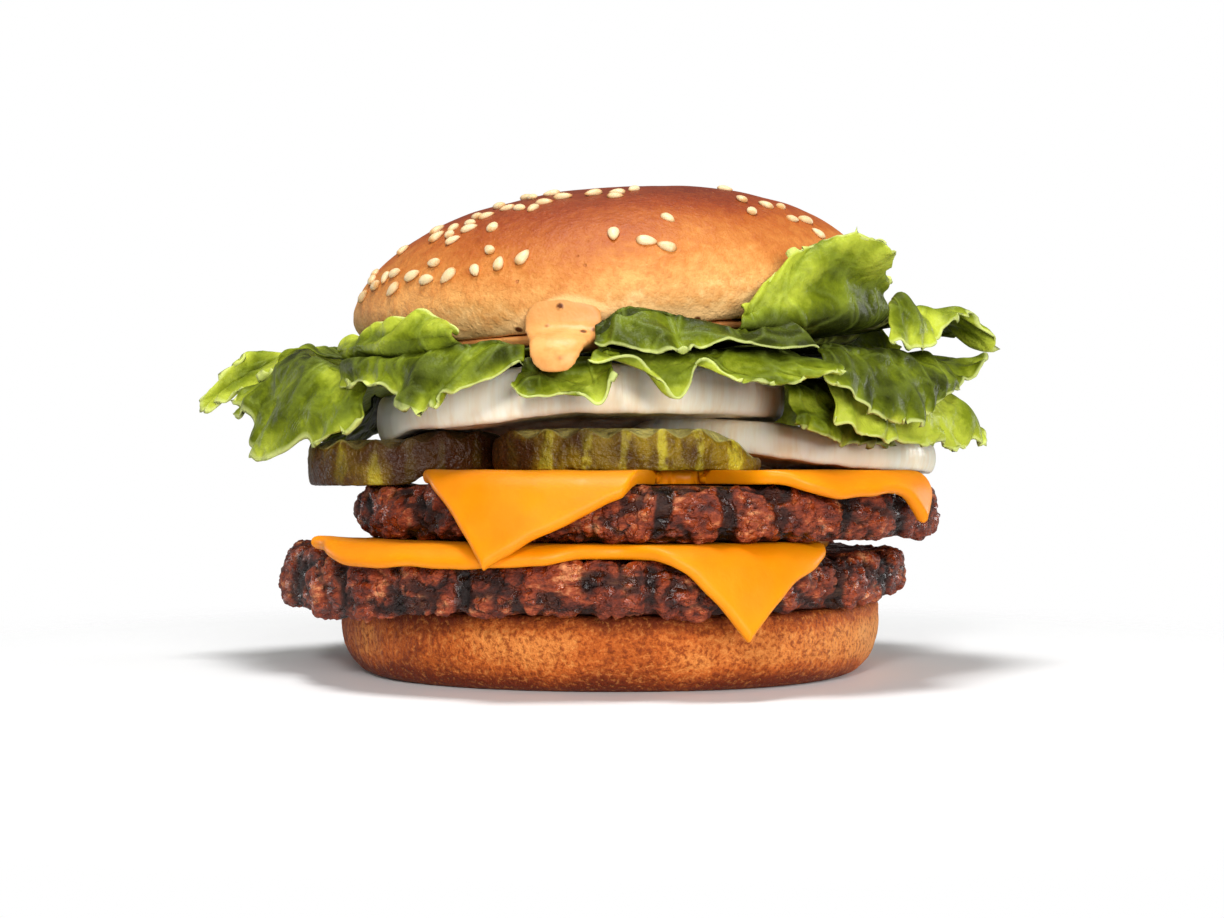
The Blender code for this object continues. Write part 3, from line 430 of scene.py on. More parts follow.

# %% [markdown]
# ## Beef patties
# A patty is pressed by hand from coarse mince, so its rim is a crowd of rounded lumps with dark grooves
# between them. A cell pattern gives just that: each point's distance to the nearest cell's middle makes
# round lumps, and the line where two cells meet is the groove. The grooves' depth is kept at the points,
# because the finish paints them nearly black as painted shade. The layers' sizes come first, since all that
# lies above counts on them.

# %% Sizes of the patties
PATTY_LOW_CENTRE = np.array((-3.4, 0.0)) * MM
PATTY_LOW_R = 60.4 * MM
PATTY_UP_CENTRE = np.array((7.2, -4.0)) * MM
PATTY_UP_R = 56.6 * MM
PATTY_H = 9.4 * MM
PATTY_CRAG = 1.5 * MM
PATTY_SECTORS = 560
GRILL_STEP = 10.8 * MM  # from bar to bar of the grill
PATTY_LOW_SEED = 2.4
PATTY_UP_SEED = 7.9
CHEESE_T = 2.4 * MM
PATTY_LOW_Z = HEEL_H + GAP
PATTY_LOW_TOP = PATTY_LOW_Z + PATTY_H
PATTY_UP_Z = PATTY_LOW_TOP + CHEESE_T + 2 * GAP
PATTY_UP_TOP = PATTY_UP_Z + PATTY_H
print("top of the upper patty in mm:", round(PATTY_UP_TOP / MM, 1))

# %% [markdown]
# A patty sags where nothing is under it, so its floor and its roof are small heights added to a level
# layer. The bars of the grill pressed and seared it on both faces and round the rim. Carving the crags by
# hand would take hours, and noise moves every point of a plain turned layer in one go.

# %% Craggy meat
def level(x, y):
    return 0.0 * x


def patty_low_floor(x, y):
    """The lower patty hangs over the heel at its left end and lifts at its right."""
    left = -2.4 * ease(54.5, 64, np.hypot(x, y) / MM) * ease(10, 45, -x / MM)
    return (left + 1.6 * ease(40, 56, x / MM)) * MM


def patty_low_roof(x, y):
    return 1.3 * MM * ease(44, 60, -x / MM)


def patty_rim(radius, seed, angle):
    return radius + PATTY_CRAG * (0.75 * wander(angle, 9, seed) + 0.35 * wander(angle, 26, seed + 4))


def cells_near(points, size, seed, warp, shifts):
    """How far each point is from the nearest cell's middle, and from the line where it meets the next
    one. warp bends the cells by noise, whose seeds are shifted for each direction."""
    flat = points.reshape(-1, 3)
    bent = flat + warp * size * np.stack([lumps(flat, size, seed + k) for k in shifts], axis=-1)
    near = np.array([noise.voronoi(p)[0][:2] for p in (bent / size + seed).tolist()])
    first, second = near.T.reshape(2, *points.shape[:-1])
    return first, second - first


def minced(points, size, seed):
    """Round lumps of that size at each point, as a height and how deep in a groove it is."""
    middle, line = cells_near(points, size, seed, 0.5, (1, 5, 9))
    return 0.75 - middle - 0.5 * (1 - ease(0, 0.22, line)), 1 - ease(0.02, 0.30, line)


def grill_bars(points, seed):
    """1 where a bar of the grill seared the meat. The bars run from front to back."""
    bent = points[..., 0] + 1.6 * MM * lumps(points, 9 * MM, seed + 11)
    bar = ease(0.45, 0.95, np.cos(math.tau * bent / GRILL_STEP + seed))
    return bar * ease(-0.25, 0.25, lumps(points, 8 * MM, seed + 12, 2) + 0.15)


def patty_profile():
    half = PATTY_H / 2
    turn = np.radians(np.linspace(-84, 84, 34))
    rim = zip(0.84 + 0.16 * np.cos(turn) ** 0.32, half * np.sin(turn) / math.sin(turn[-1]))
    flat = (0, 0.4, 0.75, 0.84, 0.89)
    return [*((s, -half) for s in flat), *rim, *((s, half) for s in reversed(flat))]


def make_patty(name, centre, radius, bottom, floor, roof, seed, finish):
    half = PATTY_H / 2
    grooves, bars = [], []

    def place(angle, share, height):
        p = polar(angle, share * patty_rim(radius, seed, angle), 0)
        x, y = p[..., 0] + centre[0], p[..., 1] + centre[1]
        up = (height + half) / PATTY_H
        return np.stack([x, y, bottom + half + height + floor(x, y) * (1 - up) + roof(x, y) * up], axis=-1)

    def relief(grid, angle, height):
        from_axis = np.hypot(grid[..., 0] - centre[0], grid[..., 1] - centre[1])
        rim = ease(0.86, 0.95, from_axis / radius)
        big, groove = minced(grid * (1, 1, 1.25), 5.6 * MM, seed)
        small, cut = minced(grid, 2.0 * MM, seed + 3)
        crags = lumps(grid, 6.5 * MM, seed, 4)
        bar = grill_bars(grid, seed)
        deep = 0.7 * groove * (0.4 + 0.6 * ease(-0.3, 0.4, -crags)) + 0.35 * cut - 0.5 * crags
        grooves.append(np.clip(deep, 0, 1))
        bars.append(bar)
        off = 0.85 * big + 0.62 * small + 1.0 * crags - 0.7 * bar - 0.2
        return off * MM * (0.06 + 0.94 * rim)

    points, faces = turn_round(patty_profile(), PATTY_SECTORS, place, relief)
    marks = {"groove": with_ends(0, grooves[0], 0), "bar": with_ends(0, bars[0], 0)}
    return lay(name, points, faces, finish, "grilled_beef", [name.replace("beef", "patty")], marks)


# %% [markdown]
# Grilled beef is red-brown where it is moist, and almost black where the grill touched it, in upright bars
# a finger's width apart. It is wet with fat in patches, so its highlights are small and sharp. The bars
# and the grooves were kept at the points, and a bump under a low roughness breaks the shine into glints.

# %% Grilled beef
def beef_finish():
    beef = Finish("grilled_beef", Specular_IOR_Level=0.4)
    groove, bar = beef.mark("groove"), beef.mark("bar")
    cloud = beef.grain(6, 4, 0.65)
    fine = beef.grain(1.3, 4, 0.7, at=beef.stretched(0.6, 0.6, 1.3))
    base = beef.ramp(
        cloud * 0.6 + fine * 0.5,
        (0.38, 40, 11, 4), (0.50, 104, 36, 14), (0.60, 152, 64, 28), (0.74, 232, 156, 102),
    )
    patchy = beef.grain(9, 3, 0.6) - 0.5
    seared = (bar * 0.85 + (fine - 0.5) * 0.8 + (cloud - 0.5) + patchy * 1.3).fade(0.25, 0.8)
    # painted shade: the grooves are painted nearly black, where shade falls between the lumps
    base = beef.paint(base, (seared * 0.92, 14, 6, 4), (groove.fade(0.15, 0.8) * 0.85, 16, 4, 2))
    wet = beef.grain(2.2, 3, 0.6).fade(0.48, 0.58)
    relief = beef.bump(fine * (1 - wet * 0.65), 1.1)
    return beef.done(Base_Color=base, Roughness=0.66 - wet * 0.50, Normal=relief)


beef = beef_finish()
make_patty(
    "beef_lower", PATTY_LOW_CENTRE, PATTY_LOW_R, PATTY_LOW_Z, patty_low_floor, patty_low_roof,
    PATTY_LOW_SEED, beef,
)
make_patty("beef_upper", PATTY_UP_CENTRE, PATTY_UP_R, PATTY_UP_Z, level, level, PATTY_UP_SEED, beef)

# %% [markdown]
# ## Cheese
# Each slice is square and soft. It lies on its patty, folds over the rim, and hangs there, so its corners
# reach lowest. Cloth simulation would fold it too, but it creases like fabric, where warm cheese bends in
# one smooth roll. So each point of the flat slice is carried out along its own radius, round a bend and
# down. Its border is uneven, as melting leaves it, and its cut edge is rounded.

# %% Cheese slices
CHEESE_SIDE = 87.0 * MM
CHEESE_BEND_R = 4.4 * MM
CHEESE_CLEAR = 1.9 * MM
CHEESE_ROUND = 1.0 * MM  # how far in its cut edge is rounded
CHEESE_SOFT = 22 * MM  # how far in it melted out of shape


def slice_stations(half):
    """Distances across a slice, closest together at its rounded cut edges."""
    near = half - np.array((0, 0.07, 0.25, 0.55, 0.95, 1.5, 2.2)) * MM
    inner = np.linspace(-near[-1], near[-1], 96)[1:-1]
    return np.concatenate([-near, inner, near[::-1]])


def hang_low(angle):
    return np.radians(78.0) + 0 * angle


def hang_up(angle):
    """The upper slice's front corner leans out over the lower patty."""
    return np.radians(62 + 17 * ease(-15, 35, np.degrees(angle)))


def drape(flat, middle, patty_radius, seed, roof, bottom, hang_at):
    """Flat points carried over the patty's rim."""
    off = flat - middle
    reach = np.hypot(off[..., 0], off[..., 1])
    angle = np.arctan2(off[..., 0], -off[..., 1])
    fold = patty_rim(patty_radius, seed, angle) + CHEESE_CLEAR + CHEESE_T / 2 - CHEESE_BEND_R
    past = np.maximum(reach - fold, 0)
    turned_by = np.minimum(past / CHEESE_BEND_R, hang_at(angle))
    left = past - turned_by * CHEESE_BEND_R
    out = np.minimum(reach, fold) + CHEESE_BEND_R * np.sin(turned_by) + left * np.cos(turned_by)
    drop = CHEESE_BEND_R * (1 - np.cos(turned_by)) + left * np.sin(turned_by)
    at = polar(angle, out, 0)[..., :2] + middle
    height = bottom + CHEESE_T / 2 + roof(at[..., 0], at[..., 1]) - drop
    return np.concatenate([at, height[..., None]], axis=-1)


def make_cheese(name, middle, patty_radius, seed, roof, bottom, corner, shift, hang_at, runs, finish):
    """corner is where the front corner points, and shift how far the slice lies that way and to the right
    of that. runs are stretches of its border that melted out or back: two angles, how far from the patty's
    middle the border then is in millimetres, and how softly the stretch begins and ends."""
    half = CHEESE_SIDE / 2
    front = polar(math.radians(corner), 1.0, 0)[:2]
    right = polar(math.radians(corner + 90), 1.0, 0)[:2]
    side_a, side_b = (right + front) / math.sqrt(2), (right - front) / math.sqrt(2)
    centre = middle + front * shift[0] * MM + right * shift[1] * MM
    a, b = np.meshgrid(slice_stations(half), slice_stations(half))
    flat = centre + side_a * a[..., None] + side_b * b[..., None]
    off = flat - middle
    reach = np.maximum(np.hypot(off[..., 0], off[..., 1]), 0.1 * MM)
    angle = np.degrees(np.arctan2(off[..., 0], -off[..., 1]))
    border = np.full(reach.shape, np.inf)
    for side in (side_a, side_b):
        along = off @ side / reach
        border = np.minimum(border, (np.copysign(half, along) - (middle - centre) @ side) / along)
    edge = half - np.maximum(abs(a), abs(b))
    closeness = ease(half - CHEESE_SOFT, half, half - edge)
    times = 1 + closeness * lumps(np.dstack([flat, 0 * a]), 10 * MM, seed, 2) * 0.9 * MM / reach
    for begin, end, target, soft in runs:
        inside = ease(begin - soft, begin + soft, angle) * (1 - ease(end - soft, end + soft, angle))
        times = times + closeness * inside * (target * MM / border - 1)
    flat = middle + off * times[..., None]
    grid = drape(flat, middle, patty_radius, seed, roof, bottom, hang_at)
    swell = 0.26 * lumps(grid, 9 * MM, seed + 2) + 0.03 * lumps(grid, 2.4 * MM, seed + 6)
    grid = grid + outward(grid) * (swell * MM * closeness)[..., None]
    rounding = np.sqrt(np.clip(1 - (1 - np.minimum(edge / CHEESE_ROUND, 1)) ** 2, 0, 1))
    points, faces, inner = thicken(grid, CHEESE_T / 2 * rounding)
    marks = {"rim": both_sides(1 - ease(0, 3 * MM, edge), inner)}
    return lay(name, points, faces, finish, "orange_cheese", [name.replace("slice", "cheese")], marks)


# %% [markdown]
# Melted cheese is smooth and satiny, a strong warm yellow-orange that lets a little light through, with a
# few oily patches. Its colour is nearly even, so most of its look comes from soft highlights on the folds
# and from light that scatters inside its thin edges. Those thin edges are also painted a brighter orange,
# as painted light for the light that comes through them.

# %% Orange cheese
def cheese_finish():
    cheese = Finish(
        "melted_cheese", Subsurface_Weight=0.2, Subsurface_Radius=(0.004, 0.002, 0.0005),
        Specular_IOR_Level=0.2,
    )
    broad = cheese.grain(14, 3, 0.5)
    fine = cheese.grain(1.1, 2, 0.6)
    base = cheese.mix(broad.fade(0.3, 0.7), tint(220, 134, 0), tint(212, 120, 0))
    # painted light: the thin edges are painted a brighter orange, as if lit through
    base = cheese.paint(base, (cheese.mark("rim") * 0.3, 246, 148, 4))
    oily = cheese.grain(6, 2, 0.5).fade(0.45, 0.7)
    relief = cheese.bump(fine * 0.12 + broad, 0.3)
    return cheese.done(Base_Color=base, Roughness=0.48 - oily * 0.12, Normal=relief)


cheese = cheese_finish()
make_cheese(
    "slice_lower", PATTY_LOW_CENTRE, PATTY_LOW_R, PATTY_LOW_SEED, patty_low_roof, PATTY_LOW_TOP + GAP,
    21.5, (15.3, 2.0), hang_low, [(-50, 0, 64.5, 8), (46, 110, 46, 6)], cheese,
)
make_cheese(
    "slice_upper", PATTY_UP_CENTRE, PATTY_UP_R, PATTY_UP_SEED, level, PATTY_UP_TOP + GAP,
    -28.6, (13.2, 4.4), hang_up, [(-112, -51, 43, 5), (0, 14, 27, 6), (25, 46, 61, 7)], cheese,
)

# %% [markdown]
# ## Pickles
# These are oval slices from a crinkle cutter, so both faces are waves, and the cut rim shows a wavy top
# edge. They are turned like the other layers, on an oval plan, and the wave is added to the height of
# every point. The left one reaches past the cheese and bends down over the patty's edge.

# %% Crinkle-cut pickles
PICKLE_Z = PATTY_UP_TOP + CHEESE_T + 2 * GAP
PICKLE_WAVE = 6.4 * MM
PICKLE_DEPTH = 0.75 * MM
PICKLE_H = 6.9 * MM
PICKLE_SECTORS = 360
PICKLE_SAG = 2.7 * MM
PICKLE_BEND = 37.4 * MM  # how far out, to the left and a little to the front, the left one begins to sag


def pickle_left_sag(x, y):
    past = -0.976 * x - 0.217 * y - PICKLE_BEND
    return -PICKLE_SAG * ease(0.3, 6.5, past / MM)


def pickle_profile():
    """(share of the oval, height from -1 to 1) with a round rim."""
    turn = np.linspace(-math.pi / 2, math.pi / 2, 17)
    flat = [(s, -1.0) for s in np.linspace(0.03, 0.93, 14)]
    rim = list(zip(0.95 + 0.05 * np.cos(turn) ** 0.7, np.sin(turn)))
    return [(0, -1.0), *flat, *rim, *((s, 1.0) for s, _ in reversed(flat)), (0, 1.0)]


def make_pickle(name, centre, half_long, half_deep, turn, sag, seed, taper, finish):
    """taper is how many millimetres its right end thins by."""
    crests, ups = [], []
    turn = math.radians(turn)
    mean = PICKLE_H / 2 - PICKLE_DEPTH

    def place(angle, share, height):
        share = share * (1 + 0.012 * wander(angle, 7, seed))
        x, y = half_long * MM * share * np.sin(angle), -half_deep * MM * share * np.cos(angle)
        cut = x + 0.7 * MM * wander(angle, 5, seed + 2)
        wave = np.cos(math.tau * cut / PICKLE_WAVE)
        edge = ease(0.80, 0.96, share)
        px = centre[0] * MM + x * math.cos(turn) - y * math.sin(turn)
        py = centre[1] * MM + x * math.sin(turn) + y * math.cos(turn)
        top = PICKLE_DEPTH * (wave * edge + (1 - edge)) - taper * MM * ease(0.55, 1.0, x / (half_long * MM))
        up = (height + 1) / 2
        z = PICKLE_Z + PICKLE_H / 2 + mean * height + top * up - (PICKLE_DEPTH + 0.3 * MM) * (1 - up)
        z = z + sag(px, py) * (1 - 0.4 * up)
        crests.append(wave)
        ups.append(up + 0 * angle)
        return np.stack(np.broadcast_arrays(px, py, z), axis=-1)

    def relief(grid, angle, height):
        return 0.22 * MM * lumps(grid, 2.2 * MM, seed, 3)

    points, faces = turn_round(pickle_profile(), PICKLE_SECTORS, place, relief)
    marks = {"crest": with_ends(1, crests[0], 1), "up": with_ends(0, ups[0], 1)}
    return lay("gherkin_" + name, points, faces, finish, "pickle", ["pickle_" + name], marks)


# %% [markdown]
# A pickle's rim is wet and half clear, amber olive with brighter yellow-green stripes where the crests of
# the cut stand, and dark brown in broad patches, more so left of the middle, where it is painted as the shade
# of the layers above. The crests were kept at the points, so the stripes follow the shape. A low roughness
# makes it wet.

# %% Pickle flesh
def pickle_finish():
    pickle = Finish(
        "pickle_flesh", Roughness=0.30, Subsurface_Weight=0.2, Subsurface_Radius=(0.004, 0.003, 0.0008),
        Specular_IOR_Level=0.22,
    )
    crest, up = pickle.mark("crest"), pickle.mark("up")
    cloud = pickle.grain(5, 3, 0.6)
    fine = pickle.grain(1.1, 3, 0.6)
    fibres = pickle.grain(2.2, 3, 0.6, at=pickle.stretched(1, 1, 0.35))
    base = pickle.mix((cloud * 0.6 + fibres * 0.6).fade(0.42, 0.74), tint(86, 58, 10), tint(146, 118, 20))
    stripe = (crest * 0.5 + cloud * 1.3 + fibres).fade(1.35, 1.75)
    left = -pickle.along("X")
    # painted shade: the pickles are painted darker left of the middle, where the layers above shade them
    shaded = left.fade(12 * MM, 20 * MM) * (1 - left.fade(32 * MM, 42 * MM) * 0.6)
    dark = (pickle.grain(12, 2, 0.5) + shaded * 0.55).fade(0.44, 0.80)
    base = pickle.paint(
        base, (stripe * 0.8, 196, 180, 48), (up.fade(0.93, 1.0) * 0.6, 206, 198, 120),
        (fine.fade(0.62, 0.76) * 0.4, 206, 190, 90), (dark * 0.94, 52, 20, 7),
    )
    return pickle.done(Base_Color=base, Normal=pickle.bump(fine + cloud, 0.8))


flesh = pickle_finish()
make_pickle("left", (-38, -18), 19, 16.2, 4, pickle_left_sag, 1.7, 0.0, flesh)
make_pickle("front", (2.4, -34), 24, 14.2, 0, level, 4.1, 3.6, flesh)
make_pickle("back", (-16, 33), 21, 15.2, -8, level, 6.3, 1.0, flesh)

# %% [markdown]
# ## Onion
# Two thick slices cut across an onion. Their cut faces show rings, and their rims are skins with faint
# upright fibres. They are soft enough to bend over what lies below them, so the floor and the roof of each
# slice are written as heights over the burger, and the rim is turned between the two.

# %% Onion slices
ONION_UP_R = 39.0 * MM
ONION_UP_CENTRE = np.array((-6.0, -9.0)) * MM
ONION_LOW_R = 31.5 * MM
ONION_LOW_CENTRE = np.array((33.0, 5.0)) * MM
ONION_UP_FLOOR = 48.5 * MM
ONION_UP_ROOF = 56.6 * MM
ONION_LOW_T = 5.8 * MM
ONION_RING = 0.62 * MM
ONION_SECTORS = 420


def onion_up_floor(x, y):
    left = 2.4 * ease(4, 30, -x / MM) + 3.0 * ease(34, 45, -x / MM)
    back = 2.7 * ease(-12, 20, y / MM)
    pickles = PICKLE_Z + PICKLE_H + GAP + 0.6 * pickle_left_sag(x, y)
    return np.maximum(ONION_UP_FLOOR - (left + back) * MM, pickles)


def onion_up_roof(x, y):
    return ONION_UP_ROOF - 4.6 * MM * ease(8, 45, -x / MM)


def onion_low_floor(x, y):
    hang = -0.10 * np.maximum(0.0, x - 58 * MM)
    lift = 4.0 * MM * ease(0, 46, 56 - x / MM) * (1 - ease(-16, 12, y / MM))
    return PICKLE_Z + 0.1 * MM + lift + hang


def onion_low_roof(x, y):
    return onion_low_floor(x, y) + ONION_LOW_T


def onion_profile(radius):
    turn = np.linspace(-math.pi / 2, math.pi / 2, 15)
    rim = [(radius - 1.3 * MM * (1 - math.cos(t)), 0.5 + 0.5 * math.sin(t)) for t in turn]
    faces = [radius * s for s in np.linspace(0.08, 0.94, 24)]
    return [(0, 0), *((r, 0.0) for r in faces), *rim, *((r, 1.0) for r in reversed(faces)), (0, 1.0)]


def make_onion(name, centre, radius, floor, roof, seed, sink, finish):
    def place(angle, out, up):
        p = polar(angle, out * (1 + 0.014 * wander(angle, 4, seed)), 0)
        x, y = p[..., 0] + centre[0], p[..., 1] + centre[1]
        share = out / radius
        rings = 0.22 * MM * np.sin(np.clip(out, 0, radius * 0.93) / ONION_RING) * np.sign(up - 0.5)
        rings = rings * ease(0.1, 0.3, share) * (1 - ease(0.88, 0.95, share))
        return np.stack([x, y, (floor(x, y) - sink) * (1 - up) + roof(x, y) * up + rings], axis=-1)

    def relief(grid, angle, up):
        fibres = 0.03 * wander(angle, 150, seed + 2) + 0.10 * wander(angle, 50, seed + 5)
        return fibres * MM + 0.12 * MM * lumps(grid, 5 * MM, seed, 2)

    profile = onion_profile(radius)
    points, faces = turn_round(profile, ONION_SECTORS, place, relief)
    marks = {"up": with_ends(0, np.repeat([up for _, up in profile[1:-1]], ONION_SECTORS), 1)}
    return lay("raw_" + name, points, faces, finish, "raw_onion", [name], marks)


# %% [markdown]
# Raw onion is watery and half clear: bright where light passes through it, with fine upright fibres. Light
# scattering under the surface does most of this, and a stretched noise draws the fibres. A warm tint is
# painted in broad patches, as painted light for the layers below that show through, and the underside is
# painted brown as shade.

# %% Onion flesh
def onion_finish():
    onion = Finish(
        "onion_flesh", Roughness=0.30, Subsurface_Weight=0.25, Subsurface_Radius=(0.006, 0.0045, 0.003),
        Specular_IOR_Level=0.35,
    )
    fibres = onion.grain(1.0, 3, 0.6, at=onion.stretched(1, 1, 0.08))
    bands = onion.grain(7, 2, 0.5, at=onion.stretched(1, 1, 0.12))
    base = onion.mix((fibres * 0.35 + bands * 0.8).fade(0.48, 0.76), tint(255, 250, 232), tint(246, 226, 192))
    # painted light: broad warm patches stand for the layers below seen through the onion
    warm = onion.grain(26, 2, 0.5).fade(0.45, 0.62) * 0.35
    # painted shade: the underside and the lowest part of the rim are painted brown
    skin = (1 - onion.mark("up").fade(0.0, 0.12)) * 0.25
    base = onion.paint(base, (warm, 236, 204, 160), (skin, 170, 120, 76))
    return onion.done(Base_Color=base, Normal=onion.bump(fibres, 0.10))


onion = onion_finish()
LOW_SLICE = ONION_LOW_CENTRE, ONION_LOW_R, onion_low_floor, onion_low_roof
UP_SLICE = ONION_UP_CENTRE, ONION_UP_R, onion_up_floor, onion_up_roof
make_onion("onion_lower", *LOW_SLICE, 1.3, 0.35 * MM, onion)
make_onion("onion_upper", *UP_SLICE, 6.6, 0.4 * MM, onion)

# %% [markdown]
# ## The bun's upper half
# The crown is a soft dome that sits a little crooked, up at its right and down at its front. It is made
# upright about its own axis and then placed by one frame, so the seeds and the sauce under it can use the
# same frame. Its skin has slow dents and, near the cut, the slight wrinkles of a squeezed roll.

# %% Crown
CROWN_R = 51.2 * MM
CROWN_SKIRT = 5.8 * MM
CROWN_DOME = 21.8 * MM
CROWN_CUT_R = 47.6 * MM
CROWN_MIDDLE = Vector((1.2 * MM, 0, 66.0 * MM))
CROWN_SECTORS = 400


def crown_frame(side, front):
    """The crown's own axes in the burger: tipped up to the right by side and down at the front by front."""
    right = Vector((math.cos(side), 0, math.sin(side)))
    up = right.cross(Vector((0, math.cos(front), math.sin(front)))).normalized()
    turn = Matrix((right, up.cross(right), up)).transposed()
    return Matrix.Translation(CROWN_MIDDLE) @ turn.to_4x4()


CROWN_FRAME = np.array(crown_frame(math.radians(4.2), math.radians(4.0)))


def onto_crown(points):
    """Points of the crown's own frame, in the burger."""
    return points @ CROWN_FRAME[:3, :3].T + CROWN_FRAME[:3, 3]


def off_crown(points):
    return (points - CROWN_FRAME[:3, 3]) @ CROWN_FRAME[:3, :3]


def crown_radius(height):
    below = np.clip(1 - height / CROWN_SKIRT, 0, 1)
    above = np.clip((height - CROWN_SKIRT) / CROWN_DOME, 0, 1)
    skirt = CROWN_R - (CROWN_R - CROWN_CUT_R) * below**2.2
    return np.where(height < CROWN_SKIRT, skirt, CROWN_R * (1 - above**1.66) ** (1 / 2.4))


def crown_dent(angle):
    return 1 + 0.010 * wander(angle, 4, 8.3)


def crown_point(angle, height):
    return polar(angle, crown_radius(height) * crown_dent(angle), height)


def crown_profile():
    skirt = [(crown_radius(h), h) for h in np.linspace(0.25 * MM, CROWN_SKIRT, 12)]
    dome = [(crown_radius(h), h) for h in CROWN_SKIRT + CROWN_DOME * np.sin(np.linspace(0.03, 1.5, 64))]
    cut = [(CROWN_CUT_R * s, 0) for s in (0.4, 0.8, 0.95, 0.985)]
    return [(0, 0), *cut, *skirt, *dome, (0, CROWN_SKIRT + CROWN_DOME)]


def crown_place(angle, radius, height):
    return onto_crown(polar(angle, radius * crown_dent(angle), height))


DRIP_ANGLE = math.radians(-9.4)


def sauce_film(angle, height):
    """How much sauce, 0 to 1, clings to the crown's lower front. It reaches highest over the drip."""
    turn = np.mod(np.degrees(angle) + 180, 360) - 180
    near_drip = np.exp(-(((turn - math.degrees(DRIP_ANGLE)) / 9) ** 2))
    top = 1.6 + 1.4 * wander(angle, 22, 2.5) + 1.6 * ease(8, 20, turn) + 4.6 * near_drip
    return ease(-34, -16, turn) * (1 - ease(28, 46, turn)) * (1 - ease(top - 1.6, top + 1.6, height / MM))


def crown_relief(grid, angle, height):
    low = 1 - ease(2 * MM, 11 * MM, height)
    dents = 0.32 * lumps(grid, 15 * MM, 3.0, 2) + 0.05 * lumps(grid, 3 * MM, 6.0)
    creases = 0.22 * lumps(off_crown(grid) * (1, 1, 2.6), 5 * MM, 8.0, 2) * low
    return (dents + creases) * MM


crown_shape = turn_round(crown_profile(), CROWN_SECTORS, crown_place, crown_relief)
own = off_crown(crown_shape[0])
crown_marks = {
    "up": (own[:, 2] / (CROWN_SKIRT + CROWN_DOME)).clip(0, 1),
    "film": sauce_film(np.arctan2(own[:, 0], -own[:, 1]), own[:, 2]),
}
print("crown points:", len(own))

# %% [markdown]
# The oven browns a bun from above: chestnut and glossy at the top, tan lower down, and pale where the
# skirt was shielded by its neighbours. So the colour follows the height over the cut face, pushed up and
# down by noise, with freckles of darker crust. An egg wash gives the top its gloss, as a lower roughness.

# %% Crust of the crown
def crown_finish():
    crust = Finish("glazed_crown", Specular_IOR_Level=0.25)
    up = crust.mark("up")
    broad = crust.grain(17, 3, 0.5)
    mottle = crust.grain(3.2, 3, 0.6)
    fine = crust.grain(0.7, 2, 0.7)
    speck = crust.grain(1.7, 4, 0.7)
    baked = up + (broad - 0.5) * 0.45 + (mottle - 0.5) * 0.20 + (speck - 0.5) * 0.30
    base = crust.ramp(
        baked,
        (0.04, 252, 206, 138), (0.20, 226, 162, 90), (0.42, 192, 118, 50),
        (0.60, 168, 86, 26), (0.76, 140, 56, 12), (0.95, 108, 36, 6),
    )
    freckle = (fine * 0.6 + mottle * 0.5).fade(0.53, 0.66) * 0.22
    pores = (1 - crust.cells(3.4).fade(0.06, 0.14)) * broad.fade(0.48, 0.60)
    film = (crust.mark("film") + (mottle - 0.5) * 0.5).fade(0.2, 0.8)
    relish = (1 - crust.cells(3.8).fade(0.12, 0.24)) * film * broad.fade(0.42, 0.52)
    base = crust.paint(
        base, (freckle, 176, 92, 36), (pores * 0.5, 150, 74, 32), (film * 0.85, 255, 204, 136),
        (relish, 96, 50, 16),
    )
    gloss = baked.fade(0.25, 0.8)
    relief = crust.bump(fine * 0.4 + speck * 0.7 + mottle - pores * 0.5, 0.4)
    return crust.done(Base_Color=base, Roughness=0.62 - gloss * 0.16, Normal=relief)


lay("bun_crown", *crown_shape, crown_finish(), "bun_crust", ["crown"], crown_marks)

# %% [markdown]
# ## Sesame seeds
# A sesame seed is a flat teardrop, three or four millimetres long, and the glaze glues it half into the
# crust. They fell in patches, thick at the left shoulder and along the top. Each patch scatters its seeds
# with a seeded random draw and keeps them a little apart, and all of them make one mesh.

# %% Where the seeds fell
SEED_LENGTH = 3.5 * MM
SEED_WIDTH = 2.1 * MM
SEED_HEIGHT = 1.3 * MM
SEED_APART = 2.9 * MM
# the middle of each patch, by angle in degrees and share of the dome's height, its scatter both ways, and
# how many seeds it has
SEED_PATCHES = (
    (-60, 0.28, 9, 0.08, 11),
    (-54, 0.66, 12, 0.09, 12),
    (-29, 0.31, 6, 0.09, 3),
    (0, 0.42, 11, 0.09, 5),
    (48, 0.52, 10, 0.10, 7),
    (-22, 0.86, 18, 0.04, 9),
    (25, 0.90, 45, 0.03, 5),
    (180, 0.80, 45, 0.12, 8),
)


def seed_places():
    """(angle, height, turn) of each seed, patch by patch."""
    draw = random.Random(11)
    places = []
    for middle, share, wide, tall, count in SEED_PATCHES:
        wanted = len(places) + count
        for _ in range(400):
            if len(places) == wanted:
                break
            angle = math.radians(middle + draw.gauss(0, wide))
            above = share + draw.gauss(0, tall)
            if not 0.12 < above < 0.96:
                continue
            height = CROWN_SKIRT + CROWN_DOME * above
            spot = crown_point(angle, height)
            if all(np.linalg.norm(spot - crown_point(a, h)) > SEED_APART for a, h, _ in places):
                places.append((angle, height, draw.uniform(0, math.tau)))
    return places


def seed_axes(angle, height, turn):
    """Where a seed sits, and its long, wide and outward directions."""
    spot = crown_point(angle, height)
    east = crown_point(angle + 0.01, height) - spot
    east /= np.linalg.norm(east)
    rise = crown_point(angle, min(height + 0.4 * MM, CROWN_SKIRT + CROWN_DOME - 0.01 * MM)) - spot
    rise -= east * (rise @ east)
    rise /= np.linalg.norm(rise)
    out = np.cross(east, rise)
    long = east * math.cos(turn) + rise * math.sin(turn)
    return spot, long, np.cross(out, long), out


seeds = seed_places()
print("seeds:", len(seeds))

# %% [markdown]
# A seed is a row of rings that swell and close again, blunt at one end and pointed at the other. One seed
# could be copied to every place, but each is made a little larger or smaller than its neighbours, and is
# toasted a little differently, mostly at its tips.

